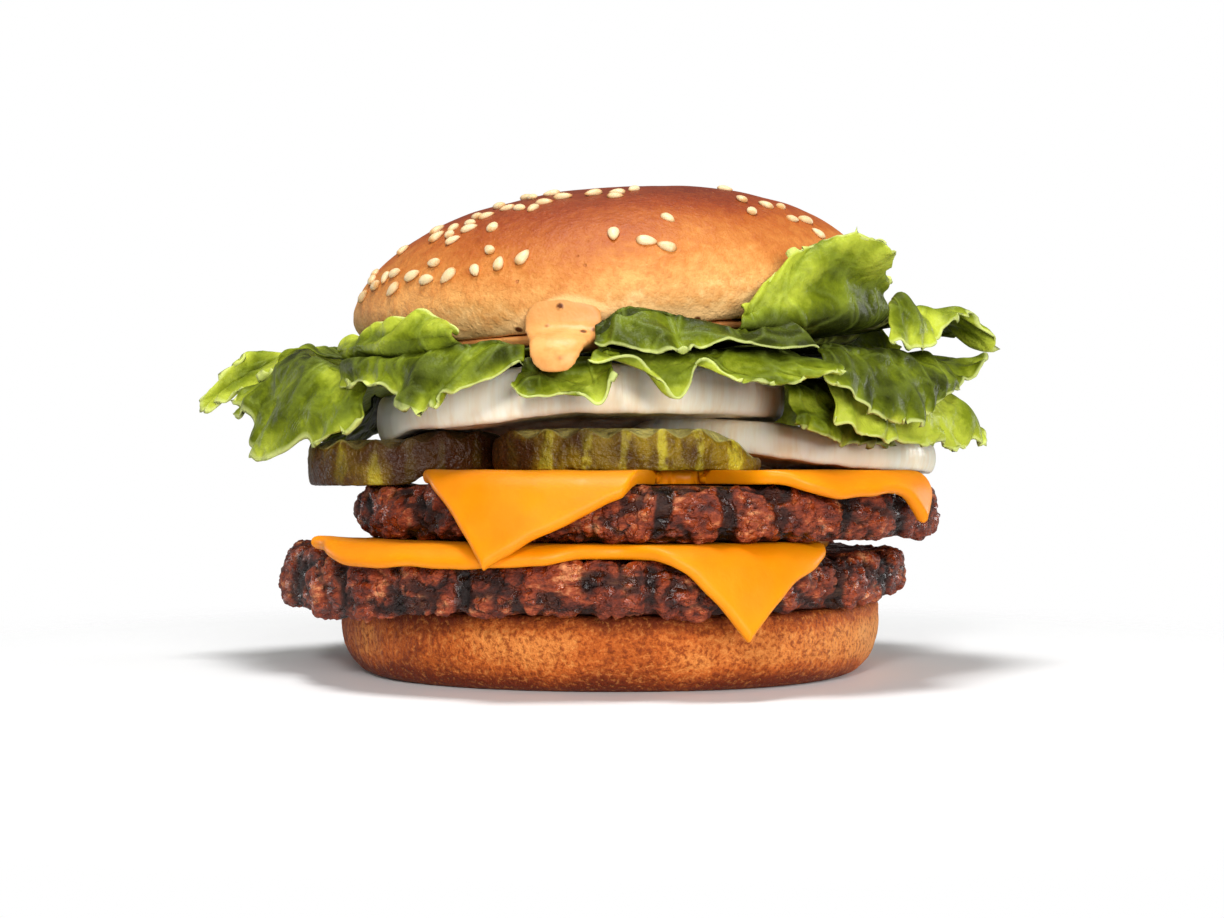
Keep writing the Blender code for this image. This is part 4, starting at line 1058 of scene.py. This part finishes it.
# %% Making the seeds
def make_seeds(finish):
    stations = (0.02, 0.1, 0.22, 0.38, 0.55, 0.72, 0.87, 0.97)
    around = np.linspace(0, math.tau, 12, endpoint=False)
    points, faces, tips, tones = [], [], [], []
    draw = random.Random(5)
    for place in seeds:
        spot, long, wide, out = seed_axes(*place)
        size = draw.uniform(0.88, 1.1)
        tone = draw.random()
        first = len(points)
        for s in stations:
            girth = math.sin(math.pi * s**0.72) ** 0.62
            middle = spot + long * ((s - 0.45) * SEED_LENGTH * size)
            middle = middle + out * (0.22 + 0.06 * math.sin(math.pi * s)) * MM
            for turn in around:
                side = wide * (girth * SEED_WIDTH * size / 2 * math.cos(turn))
                points.append(middle + side + out * (girth * SEED_HEIGHT * size / 2 * math.sin(turn)))
                tips.append(abs(s - 0.5) * 2)
                tones.append(tone)
        ring = len(around)
        faces += (weave(len(stations), ring, wrap=True) + first).tolist()
        faces.append([first + k for k in reversed(range(ring))])
        faces.append([first + (len(stations) - 1) * ring + k for k in range(ring)])
    points = onto_crown(np.array(points))
    return lay("sesame_seeds", points, faces, finish, "bun_crust", [], {"tip": tips, "tone": tones})


def seed_finish():
    seed = Finish("toasted_sesame", Roughness=0.42, Subsurface_Weight=0.1, Specular_IOR_Level=0.35)
    toast = seed.mark("tip").fade(0.45, 1.0) * 0.6 + seed.mark("tone") * 0.3
    base = seed.mix(toast + seed.grain(1.2) * 0.2, tint(240, 212, 164), tint(196, 138, 76))
    return seed.done(Base_Color=base, Normal=seed.bump(seed.grain(0.5), 0.08))


make_seeds(seed_finish())

# %% [markdown]
# ## Sauce
# Burger sauce is thick: a spread that follows the crown's cut face, and one heavy drip that has run out
# over the front, with a thin apron above it on the crown's edge. All three are simple shapes, and where
# they meet there must be no seam. Joining them and rebuilding the skin on a fine grid of cells melts them
# into one blob, as a sculptor's remesh does.

# %% Sauce spread and drip
SAUCE_T = 1.6 * MM
SAUCE_R = 47.6 * MM
SAUCE_UNDERCUT = 1.4 * MM  # how much narrower it is at the bottom
DRIP_WIDTH = 9.6 * MM
DRIP_T = 2.7 * MM
DRIP_X = -9.6 * MM
DRIP_ROWS = 40
DRIP_SIDES = 28
SPREAD_SECTORS = 160
# the drip's middle line: radius and height in millimetres, and the shares of its full width and thickness
DRIP_PATH = (
    (43.0, 60.1, 1.2, 1.2), (48.5, 60.1, 1.25, 1.25), (53.0, 60.0, 1.2, 1.2), (56.2, 59.3, 1.1, 1.1),
    (58.0, 57.8, 0.97, 0.97), (58.7, 55.8, 0.8, 0.8), (58.7, 54.2, 0.4, 0.55),
)
# the broad apron that comes down flush with the crown's edge and runs together in the drip
DRIP_APRON = (
    (49.8, 70.0, 0.6, 0.6), (50.2, 68.0, 1.05, 0.7), (50.3, 66.0, 1.35, 0.7), (50.2, 64.2, 1.5, 0.75),
    (50.4, 62.4, 1.5, 0.85), (51.6, 61.0, 1.35, 1.0), (53.8, 60.0, 1.15, 1.0), (56.0, 59.2, 1.05, 1.0),
)


def spread_place(angle, radius, height):
    return onto_crown(polar(angle, radius * (1 + 0.03 * wander(angle, 6, 5.2)), height))


def spread_shape():
    turn = np.linspace(-math.pi / 2, math.pi / 2, 7)
    low, high = -GAP - SAUCE_T, -GAP + 0.25 * MM
    middle, half = (low + high) / 2, (high - low) / 2
    lean = SAUCE_UNDERCUT / 2
    out = SAUCE_R - lean + lean * np.sin(turn) + 0.6 * MM * (np.cos(turn) - 1)
    rim = list(zip(out, middle + half * np.sin(turn)))
    profile = [(0, low), (SAUCE_R * 0.5, low), *rim, (SAUCE_R * 0.5, high), (0, high)]
    return turn_round(profile, SPREAD_SECTORS, spread_place)


def drip_shape(stops):
    path = through(stops, np.linspace(0, 1, DRIP_ROWS))
    slope = np.arctan2(np.gradient(path[:, 1]), np.gradient(path[:, 0]))
    around = np.linspace(0, math.tau, DRIP_SIDES, endpoint=False)
    across = DRIP_WIDTH / 2 * path[:, 2:3] * np.cos(around)
    thick = DRIP_T / 2 * path[:, 3:] * np.sin(around)
    radius = path[:, :1] * MM - thick * np.sin(slope)[:, None]
    height = path[:, 1:2] * MM + thick * np.cos(slope)[:, None]
    grid = polar(DRIP_ANGLE, radius, height) + polar(DRIP_ANGLE + math.pi / 2, across, 0 * across)
    faces = weave(DRIP_ROWS, DRIP_SIDES, wrap=True).tolist()
    ring = range(DRIP_SIDES)
    faces += [list(reversed(ring)), [(DRIP_ROWS - 1) * DRIP_SIDES + k for k in ring]]
    return grid.reshape(-1, 3), faces


def melt(shapes, cell, passes):
    """Points and faces of one blob made from several closed shapes."""
    mesh = bpy.data.meshes.new("blob")
    points, faces = [], []
    for more, corners in shapes:
        faces += [[i + len(points) for i in face] for face in corners]
        points += np.asarray(more).tolist()
    mesh.from_pydata(points, [], faces)
    blob = bpy.data.objects.new("blob", mesh)
    bpy.context.scene.collection.objects.link(blob)
    rebuild = blob.modifiers.new("rebuild", "REMESH")
    rebuild.mode = "VOXEL"
    rebuild.voxel_size = cell
    soften = blob.modifiers.new("soften", "SMOOTH")
    soften.iterations = passes
    made = bpy.data.meshes.new_from_object(blob.evaluated_get(bpy.context.evaluated_depsgraph_get()))
    points = np.empty(3 * len(made.vertices))
    made.vertices.foreach_get("co", points)
    faces = [list(face.vertices) for face in made.polygons]
    bpy.data.objects.remove(blob)
    return points.reshape(-1, 3), faces


sauce_shape = melt([spread_shape(), drip_shape(DRIP_PATH), drip_shape(DRIP_APRON)], 0.6 * MM, 12)
print("sauce faces:", len(sauce_shape[1]))

# %% [markdown]
# The sauce is a creamy orange with bits of relish in it. It is satiny and scatters light, so its base
# colour is pale and its edges glow a little. Its film on the crown has the same colour, so the two meet
# without a line. The drip's upper part is painted darker, as painted shade against the light on its top,
# and the spread's rim away from the drip is painted brown, as the shade under the crown.

# %% Sauce finish
def sauce_finish():
    sauce = Finish(
        "burger_sauce", Roughness=0.42, Subsurface_Weight=0.2, Subsurface_Radius=(0.003, 0.0018, 0.001),
        Specular_IOR_Level=0.25,
    )
    cloud = sauce.grain(3.5, 3, 0.6)
    bits = 1 - sauce.cells(3.4).fade(0.12, 0.26)
    base = sauce.mix(cloud.fade(0.35, 0.7), tint(232, 168, 98), tint(220, 146, 76))
    # painted shade: the drip is painted darker near the crown, where its top faces the light
    up = sauce.along("Z").fade(58.5 * MM, 65 * MM) * 0.7
    # painted shade: the spread's rim away from the drip is painted brown, as the shade under the crown
    aside = (sauce.along("X") - DRIP_X) * (1 / MM)
    aside = (aside * aside).fade(90.0, 260.0) * 0.7
    relish = bits * cloud.fade(0.44, 0.54)
    base = sauce.paint(base, (up, 214, 152, 88), (aside, 168, 104, 56), (relish, 96, 50, 16))
    return sauce.done(Base_Color=base, Normal=sauce.bump(cloud + bits * 0.4, 0.25))


lay("sauce_blob", *sauce_shape, sauce_finish(), "burger_sauce", ["sauce"])

# %% [markdown]
# ## Lettuce
# Curly lettuce is a thin sheet that grew too long for its own stem, so it crowds into waves, frills along
# its free edge and blisters between its veins. Cloth simulation can crumple a sheet, but not grow one, so
# each leaf is drawn instead. Four rows of stops say where it runs: its root under the crown, where it
# comes out past the onion, the top of its fold, and its free edge. Smooth curves join the stops, and then
# waves, blisters and frills are added off that surface, each growing towards the edge.

# %% Where the leaves run
LEAF_T = 0.8 * MM
# A stop is (angle in degrees, radius in mm, height in mm). The last entry is the waves' size, count, seed.
LEAVES = {
    "leaf_left_low": (
        [(-92, 12, 57.6), (-58, 12, 57.8)],
        [(-94, 50, 57.5), (-76, 51, 57.6), (-59, 50, 56.2)],
        [(-92, 60, 58.5), (-82, 63, 59.4), (-66, 60, 57), (-53, 56.5, 54.5)],
        [(-92, 69, 54), (-88, 75, 50.5), (-82, 71, 46.5), (-75, 70, 39.8), (-63, 62, 42), (-50, 58.5, 48)],
        (1.4, 4, 1.7),
    ),
    # a leaf tucked under the left ones, painted darker as shade, that fills the dark gap above the left
    # pickle
    "leaf_left_under": (
        [(-106, 46.5, 53), (-79, 46.5, 53)],
        [(-106, 47.4, 50), (-79, 47.6, 50)],
        [(-106, 50, 46.4), (-92, 51, 46), (-80, 51.5, 46.4)],
        [(-106, 54, 43), (-98, 56, 42.4), (-90, 57, 42.2), (-84, 57.5, 42.6), (-80, 57, 43.4)],
        (0.5, 3, 5.2),
    ),
    "leaf_left_high": (
        [(-126, 12, 59.4), (-90, 12, 59.6)],
        [(-124, 50, 60), (-104, 51, 60.5), (-88, 51, 60.4)],
        [(-124, 60, 61.5), (-107, 64, 63.5), (-90, 62, 62.4)],
        [(-122, 64, 57), (-108, 74, 58), (-99, 77.5, 61), (-95, 84, 51), (-93, 78, 52.5), (-91, 68, 59)],
        (1.1, 3, 4.2),
    ),
    "leaf_left_front_up": (
        [(-58, 12, 59.4), (-27, 12, 59.6)],
        [(-60, 50, 57.8), (-42, 51, 58.0), (-27, 50, 58.6)],
        [(-62, 57, 59.8), (-50, 58, 60.2), (-38, 58.5, 60.4), (-28, 57.5, 61)],
        [(-62, 54.6, 61.6), (-52, 54.4, 63.2), (-42, 54.4, 65.2), (-34, 54.6, 65.4), (-28, 55.5, 62)],
        (0.5, 3, 3.3),
    ),
    "leaf_left_front_down": (
        [(-52, 12, 57.8), (-21, 12, 57.8)],
        [(-54, 50, 56.2), (-34, 50, 56.8), (-19, 50, 57.6)],
        [(-58, 57, 57.4), (-44, 58.3, 57.8), (-30, 58, 58.4), (-21, 56.8, 60), (-15.6, 55, 59)],
        [(-56, 59, 53), (-46, 60.5, 54), (-38, 61, 50.3), (-31, 61.5, 48.3), (-25, 60, 52),
         (-15, 57.6, 55.6)],
        (0.6, 4, 6.1),
    ),
    "leaf_front": (
        [(-17, 12, 57.8), (-1, 12, 57.6)],
        [(-16, 50, 57.6), (-8, 50.5, 57.4), (0, 50, 57.1)],
        [(-16.5, 55, 54.4), (-8.6, 54, 54), (0, 55, 55.8)],
        [(-17, 58, 52.4), (-13, 60, 50.4), (-8, 58, 51.4), (-2.5, 60, 49.2), (0.5, 58, 54)],
        (0.4, 2, 5.9),
    ),
    "leaf_right_front_up": (
        [(3, 12, 60.2), (34, 12, 60.4)],
        [(-2, 50.5, 59.8), (14, 51, 60.3), (30, 51, 60.7)],
        [(-3, 54, 62.2), (2, 53.8, 65.4), (9, 54, 65), (16, 55.5, 62.8), (23, 56.5, 61.6), (32, 59, 63.4)],
        [(-3, 56.5, 59.4), (4, 60, 58), (11, 60.5, 57.8), (16, 60.5, 59.4), (24, 60.5, 58.4), (34, 63, 59)],
        (0.5, 4, 9.4),
    ),
    "leaf_right_front_down": (
        [(6, 12, 58.4), (36, 12, 58.6)],
        [(-1, 50, 58.3), (16, 50.5, 58.6), (34, 51, 59.2)],
        [(-3, 54.5, 58.2), (8, 55.5, 57), (20, 57.5, 56.8), (36, 60, 57)],
        [(-4, 58.5, 56.8), (5, 59.5, 55.6), (10.5, 61, 51), (15, 60, 56.2), (22, 61, 53.2),
         (29, 62.5, 52.8), (34, 66.5, 54.6), (39, 63, 55.4)],
        (0.3, 3, 2.7),
    ),
    "leaf_blade": (
        [(38, 12, 61.8), (72, 12, 62.2)],
        [(24, 52, 62.0), (38, 52.6, 62.4), (52, 53, 63.4), (64, 52, 64.6)],
        [(24, 54.4, 64.4), (30, 55, 67), (40, 57, 71), (50, 58.5, 72), (60, 57.5, 70.5)],
        [(24.5, 54.4, 65.6), (28, 54.4, 69.5), (34, 55, 74.5), (39, 57.5, 78), (43.5, 61.5, 79.3),
         (47, 66.5, 76.5), (54, 61, 74.5), (61, 57, 72.5)],
        (0.5, 3, 2.6),
    ),
    "leaf_right_up": (
        [(78, 12, 64), (108, 12, 64)],
        [(68, 52, 64.4), (82, 52, 66), (106, 51, 66.5)],
        [(64, 57, 69.6), (70, 58, 70.4), (78, 59, 69), (88, 57.5, 70.6), (106, 57, 71)],
        [(58, 60, 62.2), (64, 62.5, 61), (70, 64, 61.6), (76, 66, 66), (80, 70, 68.5), (84, 75, 62.5),
         (92, 69, 65), (106, 64, 65)],
        (0.7, 4, 7.7),
    ),
    "leaf_right_mid": (
        [(48, 12, 60.8), (104, 12, 61)],
        [(44, 50, 60.6), (72, 51, 60.6), (104, 50, 61.2)],
        [(39, 57, 59), (54, 59, 58), (70, 63, 58.5), (86, 62, 60), (106, 58, 61.5)],
        [(37, 62, 54.5), (46, 62, 48.6), (57, 65, 46.2), (66, 66, 51), (80, 68.5, 55), (89, 74, 60.6),
         (108, 64, 58)],
        (0.8, 4, 3.9),
    ),
    "leaf_right_low": (
        [(46, 12, 58.6), (104, 12, 58.6)],
        [(44, 48, 56.5), (70, 50, 56), (106, 48, 56)],
        [(43, 56, 53), (60, 60, 51.5), (78, 66, 52.5), (106, 60, 54)],
        [(42, 59, 47.4), (50, 60.5, 43.8), (60, 62, 43), (70, 67, 42.8), (78, 71, 42.8), (84, 72.5, 45),
         (106, 64, 49)],
        (0.9, 4, 8.1),
    ),
    "leaf_right_core": (
        [(38, 44, 55.2), (106, 41, 55.2)],
        [(38, 48, 54.2), (70, 47, 54), (106, 45, 54)],
        [(38, 51.5, 51), (70, 52, 49.2), (106, 50, 50)],
        [(37, 53, 46.4), (46, 54, 43.2), (56, 54.5, 42.8), (72, 56, 43.4), (84, 57, 44.6), (106, 53, 46)],
        (0.7, 4, 1.1),
    ),
    "leaf_back_right_up": (
        [(112, 12, 63), (152, 12, 63)],
        [(110, 51, 64.5), (132, 51, 64.6), (154, 51, 64)],
        [(110, 56, 70), (124, 56, 68.5), (138, 56, 69.6), (154, 56, 68)],
        [(109, 64, 64), (118, 66, 60), (128, 62, 63), (138, 66, 60), (147, 61, 63), (155, 62, 61)],
        (0.8, 4, 6.4),
    ),
    "leaf_back_right": (
        [(112, 12, 59.6), (156, 12, 59.6)],
        [(110, 49, 58.6), (134, 50, 58.4), (158, 49, 58.6)],
        [(109, 58, 58), (132, 58, 57), (158, 56, 58)],
        [(109, 66, 54), (120, 69, 48), (131, 62, 52.5), (142, 66, 47), (150, 60, 51), (159, 61, 52)],
        (1.2, 4, 5.5),
    ),
    "leaf_back_up": (
        [(160, 12, 62.6), (204, 12, 62.4)],
        [(158, 51, 63.4), (182, 51, 63), (206, 51, 61.6)],
        [(157, 55.5, 67.5), (170, 56, 68.6), (184, 55.5, 67), (206, 56, 66)],
        [(157, 62, 61), (167, 60, 62), (178, 64, 57.5), (190, 60, 61), (199, 63, 58), (208, 59, 60)],
        (0.8, 4, 4.6),
    ),
    "leaf_back": (
        [(162, 12, 59.4), (204, 12, 59.4)],
        [(161, 49, 58.6), (184, 49, 58.4), (205, 49, 58.2)],
        [(161, 56, 57.6), (184, 56, 57), (206, 56, 57)],
        [(161, 60, 53), (172, 66, 49), (182, 61, 53.5), (192, 67, 49), (200, 61, 52), (207, 60, 52)],
        (1.1, 4, 8.8),
    ),
    "leaf_back_left": (
        [(210, 12, 58.4), (250, 12, 58.2)],
        [(208, 49, 57.4), (228, 50, 57.2), (250, 49, 57)],
        [(209, 57, 57), (228, 58, 56.6), (251, 58, 57)],
        [(209, 60, 53), (218, 68, 46.5), (228, 63, 51.5), (238, 70, 47), (246, 65, 51), (253, 67, 53)],
        (1.1, 4, 2.2),
    ),
}


print("leaves:", len(LEAVES))

# %% [markdown]
# Lettuce gives way to whatever it lies on. Where a leaf would run through the crown, the sauce or an onion
# slice, its points are moved out by the shorter way. A physics simulation could do it, but it would move
# the whole leaf, and the place of every fold was chosen.

# %% Keeping the leaves clear
def clear_of_crown(p, margin):
    """Points moved out of the crown and the sauce under it, by the shorter way."""
    q = off_crown(p)
    radius, angle = np.hypot(q[..., 0], q[..., 1]), np.arctan2(q[..., 0], -q[..., 1])
    floor = -(GAP + SAUCE_T + margin)
    limit = crown_radius(q[..., 2]) * crown_dent(angle) + margin
    inside = (q[..., 2] >= floor) & (q[..., 2] <= CROWN_SKIRT + CROWN_DOME + margin) & (radius < limit)
    down = q[..., 2] - floor < limit - radius
    lowered = np.stack([q[..., 0], q[..., 1], np.full_like(radius, floor)], axis=-1)
    moved = np.where(down[..., None], lowered, polar(angle, limit, q[..., 2]))
    return np.where(inside[..., None], onto_crown(moved), p)


def clear_of_slice(p, margin, centre, radius, floor, roof):
    """Points moved out of a round slice by the shorter way, out or up."""
    off = p[..., :2] - centre
    out = np.hypot(off[..., 0], off[..., 1])
    limit = radius * 1.015 + margin
    high = roof(p[..., 0], p[..., 1]) + margin
    inside = (out < limit) & (p[..., 2] > floor(p[..., 0], p[..., 1]) - margin) & (p[..., 2] < high)
    up = high - p[..., 2] < limit - out
    aside = centre + off * (limit / np.maximum(out, 1e-9))[..., None]
    moved = np.where(up[..., None], p[..., :2], aside)
    height = np.where(up, high, p[..., 2])
    return np.where(inside[..., None], np.concatenate([moved, height[..., None]], axis=-1), p)


def clear_of_layers(p):
    margin = LEAF_T / 2 + GAP + 0.1 * MM
    p = clear_of_slice(clear_of_slice(p, margin, *LOW_SLICE), margin, *UP_SLICE)
    return clear_of_crown(p, margin)


moved = clear_of_layers(np.array(CROWN_MIDDLE))
print("from the middle of the crown's cut face a leaf moves to, in mm:", np.round(moved / MM, 1))

# %% [markdown]
# A leaf's surface is worked out as a grid, u across it and v from root to free edge. The blisters use the
# same cell pattern as the beef, but as pillows between a net of veins, with a few ribs that run towards
# the edge. The frill is a quick wave that only the edge has, and the edge itself is cut into small notches
# by pulling its last rows back.

# %% Growing a leaf
ACROSS = 112
EDGE_ROWS = 46
DOWN = np.concatenate([np.linspace(0, 1, 7)[:-1], np.linspace(1, 3, EDGE_ROWS)])
LEAF_BLISTER = 7.5 * MM
FRILL_STEP = 7.4  # millimetres of edge for each small wave
RIB_STEP = 11  # millimetres from rib to rib


def leaf_surface(rows, u, v):
    """Points for each v and u of the leaf's smooth middle surface. v may differ along u."""
    stops = np.stack([through(row, u) for row in rows])
    at = np.clip(v, 0, len(rows) - 1)
    i = np.minimum(at.astype(int), len(rows) - 2)
    column = np.broadcast_to(np.arange(len(u)), v.shape)
    near = (stops[np.clip(i + k, 0, len(rows) - 1), column] for k in (-1, 0, 1, 2))
    angle, radius, height = np.moveaxis(bend(*near, (at - i)[..., None]), -1, 0)
    return polar(np.radians(angle), radius * MM, height * MM)


def leaf_noise(u, v, seed):
    """Noise for each u and v of a leaf, unlike that of any other seed."""
    places = np.stack([u, v, 0 * u + seed], axis=-1).reshape(-1, 3).tolist()
    return np.array([noise.noise(p) for p in places]).reshape(u.shape)


def grow_leaf(rows, wave):
    size, count, seed = wave
    u, v = np.meshgrid(np.linspace(0, 1, ACROSS), DOWN)
    near_edge = leaf_surface(rows, u[0], v)[-8]
    length = np.linalg.norm(np.diff(near_edge, axis=0), axis=1).sum() / MM
    notch = leaf_noise(u[0] * length / 6.5, 0 * u[0], seed + 20)
    notch = notch + 0.6 * leaf_noise(u[0] * length / 2.6, 0 * u[0], seed + 30)
    notch = np.clip(notch, -0.25, 1) * 0.24
    pulled = np.where(v > 1, 1 + (v - 1) * (1 - notch * ease(1.2, 3, v) / 2), v)
    grid = leaf_surface(rows, u[0], pulled)
    slow = np.sin(math.tau * (count * u + 0.13 * seed)) * 0.5
    crumple = 1.4 * leaf_noise(u * count * 2.1 + seed, v * 0.9, seed)
    grid = grid + outward(grid) * (size * MM * ease(0.9, 3.0, v) * (slow + crumple))[..., None]
    line = cells_near(grid, LEAF_BLISTER, seed, 0.35, (2, 6, 8))[1]
    blister, vein = ease(0, 0.55, line), 1 - ease(0.03, 0.16, line)
    folds = leaf_noise(u * length / 9, v * 1.7, seed + 9)
    waver = leaf_noise(u * length / 14, v, seed + 4)
    frill = np.sin(math.tau * (u * length / FRILL_STEP + 0.9 * waver))
    rise = 0.42 * blister * ease(0.8, 1.5, v) + 1.5 * folds * ease(0.9, 2.0, v)
    rise = rise + 0.7 * frill * ease(2.1, 3.0, v) ** 1.5
    grid = clear_of_layers(grid + outward(grid) * (rise * MM)[..., None])
    bent = leaf_noise(u * 3, v * 0.8, seed + 2)
    ribs = abs(np.mod(u * length / RIB_STEP + 0.35 * bent, 1) - 0.5)
    vein = np.maximum(vein * 0.75, (1 - ease(0.02, 0.07, ribs)) * (1 - ease(2.2, 2.9, v)))
    return grid, u, v, vein, 1 - ease(-1.1, 1.3, rise + 0.6 * size * crumple)


# how much paler (above 0) and darker (below 0) than the others each leaf is painted: painted light and
# shade for how each leaf is lit
LEAF_TONES = {
    "leaf_blade": 0.10, "leaf_right_up": 0.10, "leaf_left_front_up": 0.16, "leaf_left_front_down": -0.04,
    "leaf_right_front_up": -0.26, "leaf_right_mid": -0.08, "leaf_right_low": 0.24, "leaf_left_low": 0.0,
    "leaf_left_under": -0.15, "leaf_left_high": 0.18,
}


def make_leaf(name, rows, wave, finish):
    grid, u, v, vein, dip = grow_leaf(rows, wave)
    rows_in = np.minimum(np.minimum(u, 1 - u) * ACROSS, (3 - v) * EDGE_ROWS / 2)
    taper = np.clip(rows_in / 3, 0, 1)
    half = LEAF_T / 2 * (0.55 + 0.25 * vein) * np.sqrt(1 - (1 - taper) ** 2)
    points, faces, inner = thicken(grid, half)
    marks = {"vein": vein, "dip": dip, "edge": ease(2.45, 3.0, v), "inner": 1 - ease(1.0, 2.1, v)}
    marks["tone"] = np.full(v.shape, LEAF_TONES.get(name, 0.0))
    marks = {mark: both_sides(values, inner) for mark, values in marks.items()}
    return lay("frill_" + name, points, faces, finish, "lettuce", [name], marks)


# %% [markdown]
# A leaf is bright yellow-green at its frilled edge, with a thin pale rim, and greener over the fold. Its
# dips and its inner part are painted dark, as painted shade where the layers shade it, and some leaves are
# painted a little paler and some darker, as painted light and shade for how each is lit. Its veins are pale.
# Light passes through it, so some of it scatters below the surface. The edge, the veins, the dips, the inner
# part and each leaf's painted light and shade were kept as numbers at the points.

# %% Lettuce finish
def lettuce_finish():
    leaf = Finish(
        "curly_lettuce", Subsurface_Weight=0.1, Subsurface_Radius=(0.002, 0.003, 0.0006),
        Specular_IOR_Level=0.1,
    )
    cloud = leaf.grain(11, 3, 0.55)
    fine = leaf.grain(1.6, 3, 0.6)
    edge, vein, inner = leaf.mark("edge"), leaf.mark("vein"), leaf.mark("inner")
    # painted shade: the dips and the inner part are painted darker, and each leaf's tone is its painted light
    # and shade
    base = leaf.ramp(
        cloud * 0.7 + fine * 0.3 + edge * 0.20 - inner * 0.42 + leaf.mark("tone") - leaf.mark("dip") * 0.38,
        (0.02, 42, 48, 6), (0.22, 74, 84, 12), (0.40, 110, 122, 20), (0.64, 172, 182, 56),
    )
    base = leaf.paint(base, (vein * 0.18, 166, 184, 74), (edge.fade(0.88, 1.0) * 0.7, 204, 212, 132))
    relief = leaf.bump(fine + vein * 0.4, 0.4)
    return leaf.done(Base_Color=base, Roughness=0.50 - cloud * 0.15, Normal=relief)


lettuce = lettuce_finish()
for name, (*rows, wave) in LEAVES.items():
    make_leaf(name, rows, wave, lettuce)


# %% [markdown]
# ## Table, camera and light
# The burger stands on a plain white table, which fades into white surroundings, so no horizon shows. The
# camera looks along the table, level with the middle of the burger. It could be placed by eye, but here
# its distance is known, so the layers show the right amount of their undersides and tops.

# %% Table and camera
TABLE_R = 0.6
TABLE_CORNERS = 96
CAMERA_AWAY = 0.360
CAMERA_UP = 0.037
CAMERA_LENS = 53.5
CAMERA_TILT = math.radians(0.57)  # how far it looks up


def make_table():
    around = np.linspace(0, math.tau, TABLE_CORNERS, endpoint=False)
    mesh = bpy.data.meshes.new("table")
    mesh.from_pydata(polar(around, TABLE_R, 0).tolist(), [], [list(range(TABLE_CORNERS))])
    table = bpy.data.objects.new("table", mesh)
    bpy.context.scene.collection.objects.link(table)
    white = Finish("white_table", Roughness=0.6)
    far = white.node("ShaderNodeVectorMath", {"operation": "LENGTH"}, {0: white.place()}, "Value")
    haze = white.mix(white.grain(400, 2), (0.88, 0.88, 0.88, 1), (0.86, 0.86, 0.86, 1))
    mesh.materials.append(white.done(Base_Color=haze, Alpha=1 - far.fade(0.085, 0.20)))


def make_camera():
    eye = bpy.data.cameras.new("camera")
    eye.sensor_width = 36
    eye.lens = CAMERA_LENS
    eye.clip_start = 0.01
    camera = bpy.data.objects.new("camera", eye)
    camera.location = (0, -CAMERA_AWAY, CAMERA_UP)
    camera.rotation_euler = (math.pi / 2 + CAMERA_TILT, 0, 0)
    bpy.context.scene.collection.objects.link(camera)
    bpy.context.scene.camera = camera


make_table()
make_camera()
print("camera distance to the axis in mm:", round(CAMERA_AWAY / MM))

# %% [markdown]
# Food is lit softly, so that every crag shows and no shadow is hard. One soft lamp hangs overhead, one
# shines from the front and above, and a broad, low one at the right of the camera fills the shadows
# between the layers. Two weak ones behind give the sides a bright edge, as in a plain studio.

# %% Lamps and white surroundings
LIT_POINT = Vector((0, 0, 0.045))  # where every lamp aims


def make_lamp(name, place, size, power):
    light = bpy.data.lights.new(name, "AREA")
    light.shape = "RECTANGLE"
    light.size, light.size_y = size
    light.energy = power
    lamp = bpy.data.objects.new(name, light)
    lamp.location = place
    lamp.rotation_euler = (LIT_POINT - Vector(place)).to_track_quat("-Z", "Y").to_euler()
    bpy.context.scene.collection.objects.link(lamp)


def white_surroundings(seen, light):
    """A white backdrop for the eye, that lights the burger more gently than it looks."""
    world = bpy.data.worlds.new("white_room")
    world.use_nodes = True
    room = Nodes(world.node_tree)
    to_eye = room.node("ShaderNodeLightPath", {}, {}, "Is Camera Ray")
    strength = room.node("ShaderNodeMapRange", {}, {"Value": to_eye, "To Min": light, "To Max": seen})
    background = room.tree.nodes["Background"]
    background.inputs["Color"].default_value = (1, 1, 1, 1)
    room.tree.links.new(strength.socket, background.inputs["Strength"])
    bpy.context.scene.world = world


make_lamp("overhead", (-0.04, -0.12, 0.80), (0.22, 0.22), 5.2)
make_lamp("front", (-0.14, -0.99, 0.47), (0.14, 0.14), 4.6)
make_lamp("fill", (0.34, -1.00, 0.20), (0.50, 0.40), 9.2)
make_lamp("left_rim", (-0.80, 0.40, 0.16), (0.20, 0.3), 1.2)
make_lamp("right_rim", (0.80, 0.40, 0.18), (0.20, 0.3), 2.5)
white_surroundings(1.0, 0.20)
bpy.context.scene.view_settings.view_transform = "Standard"
print("lamps:", len(bpy.data.lights))

# %% [markdown]
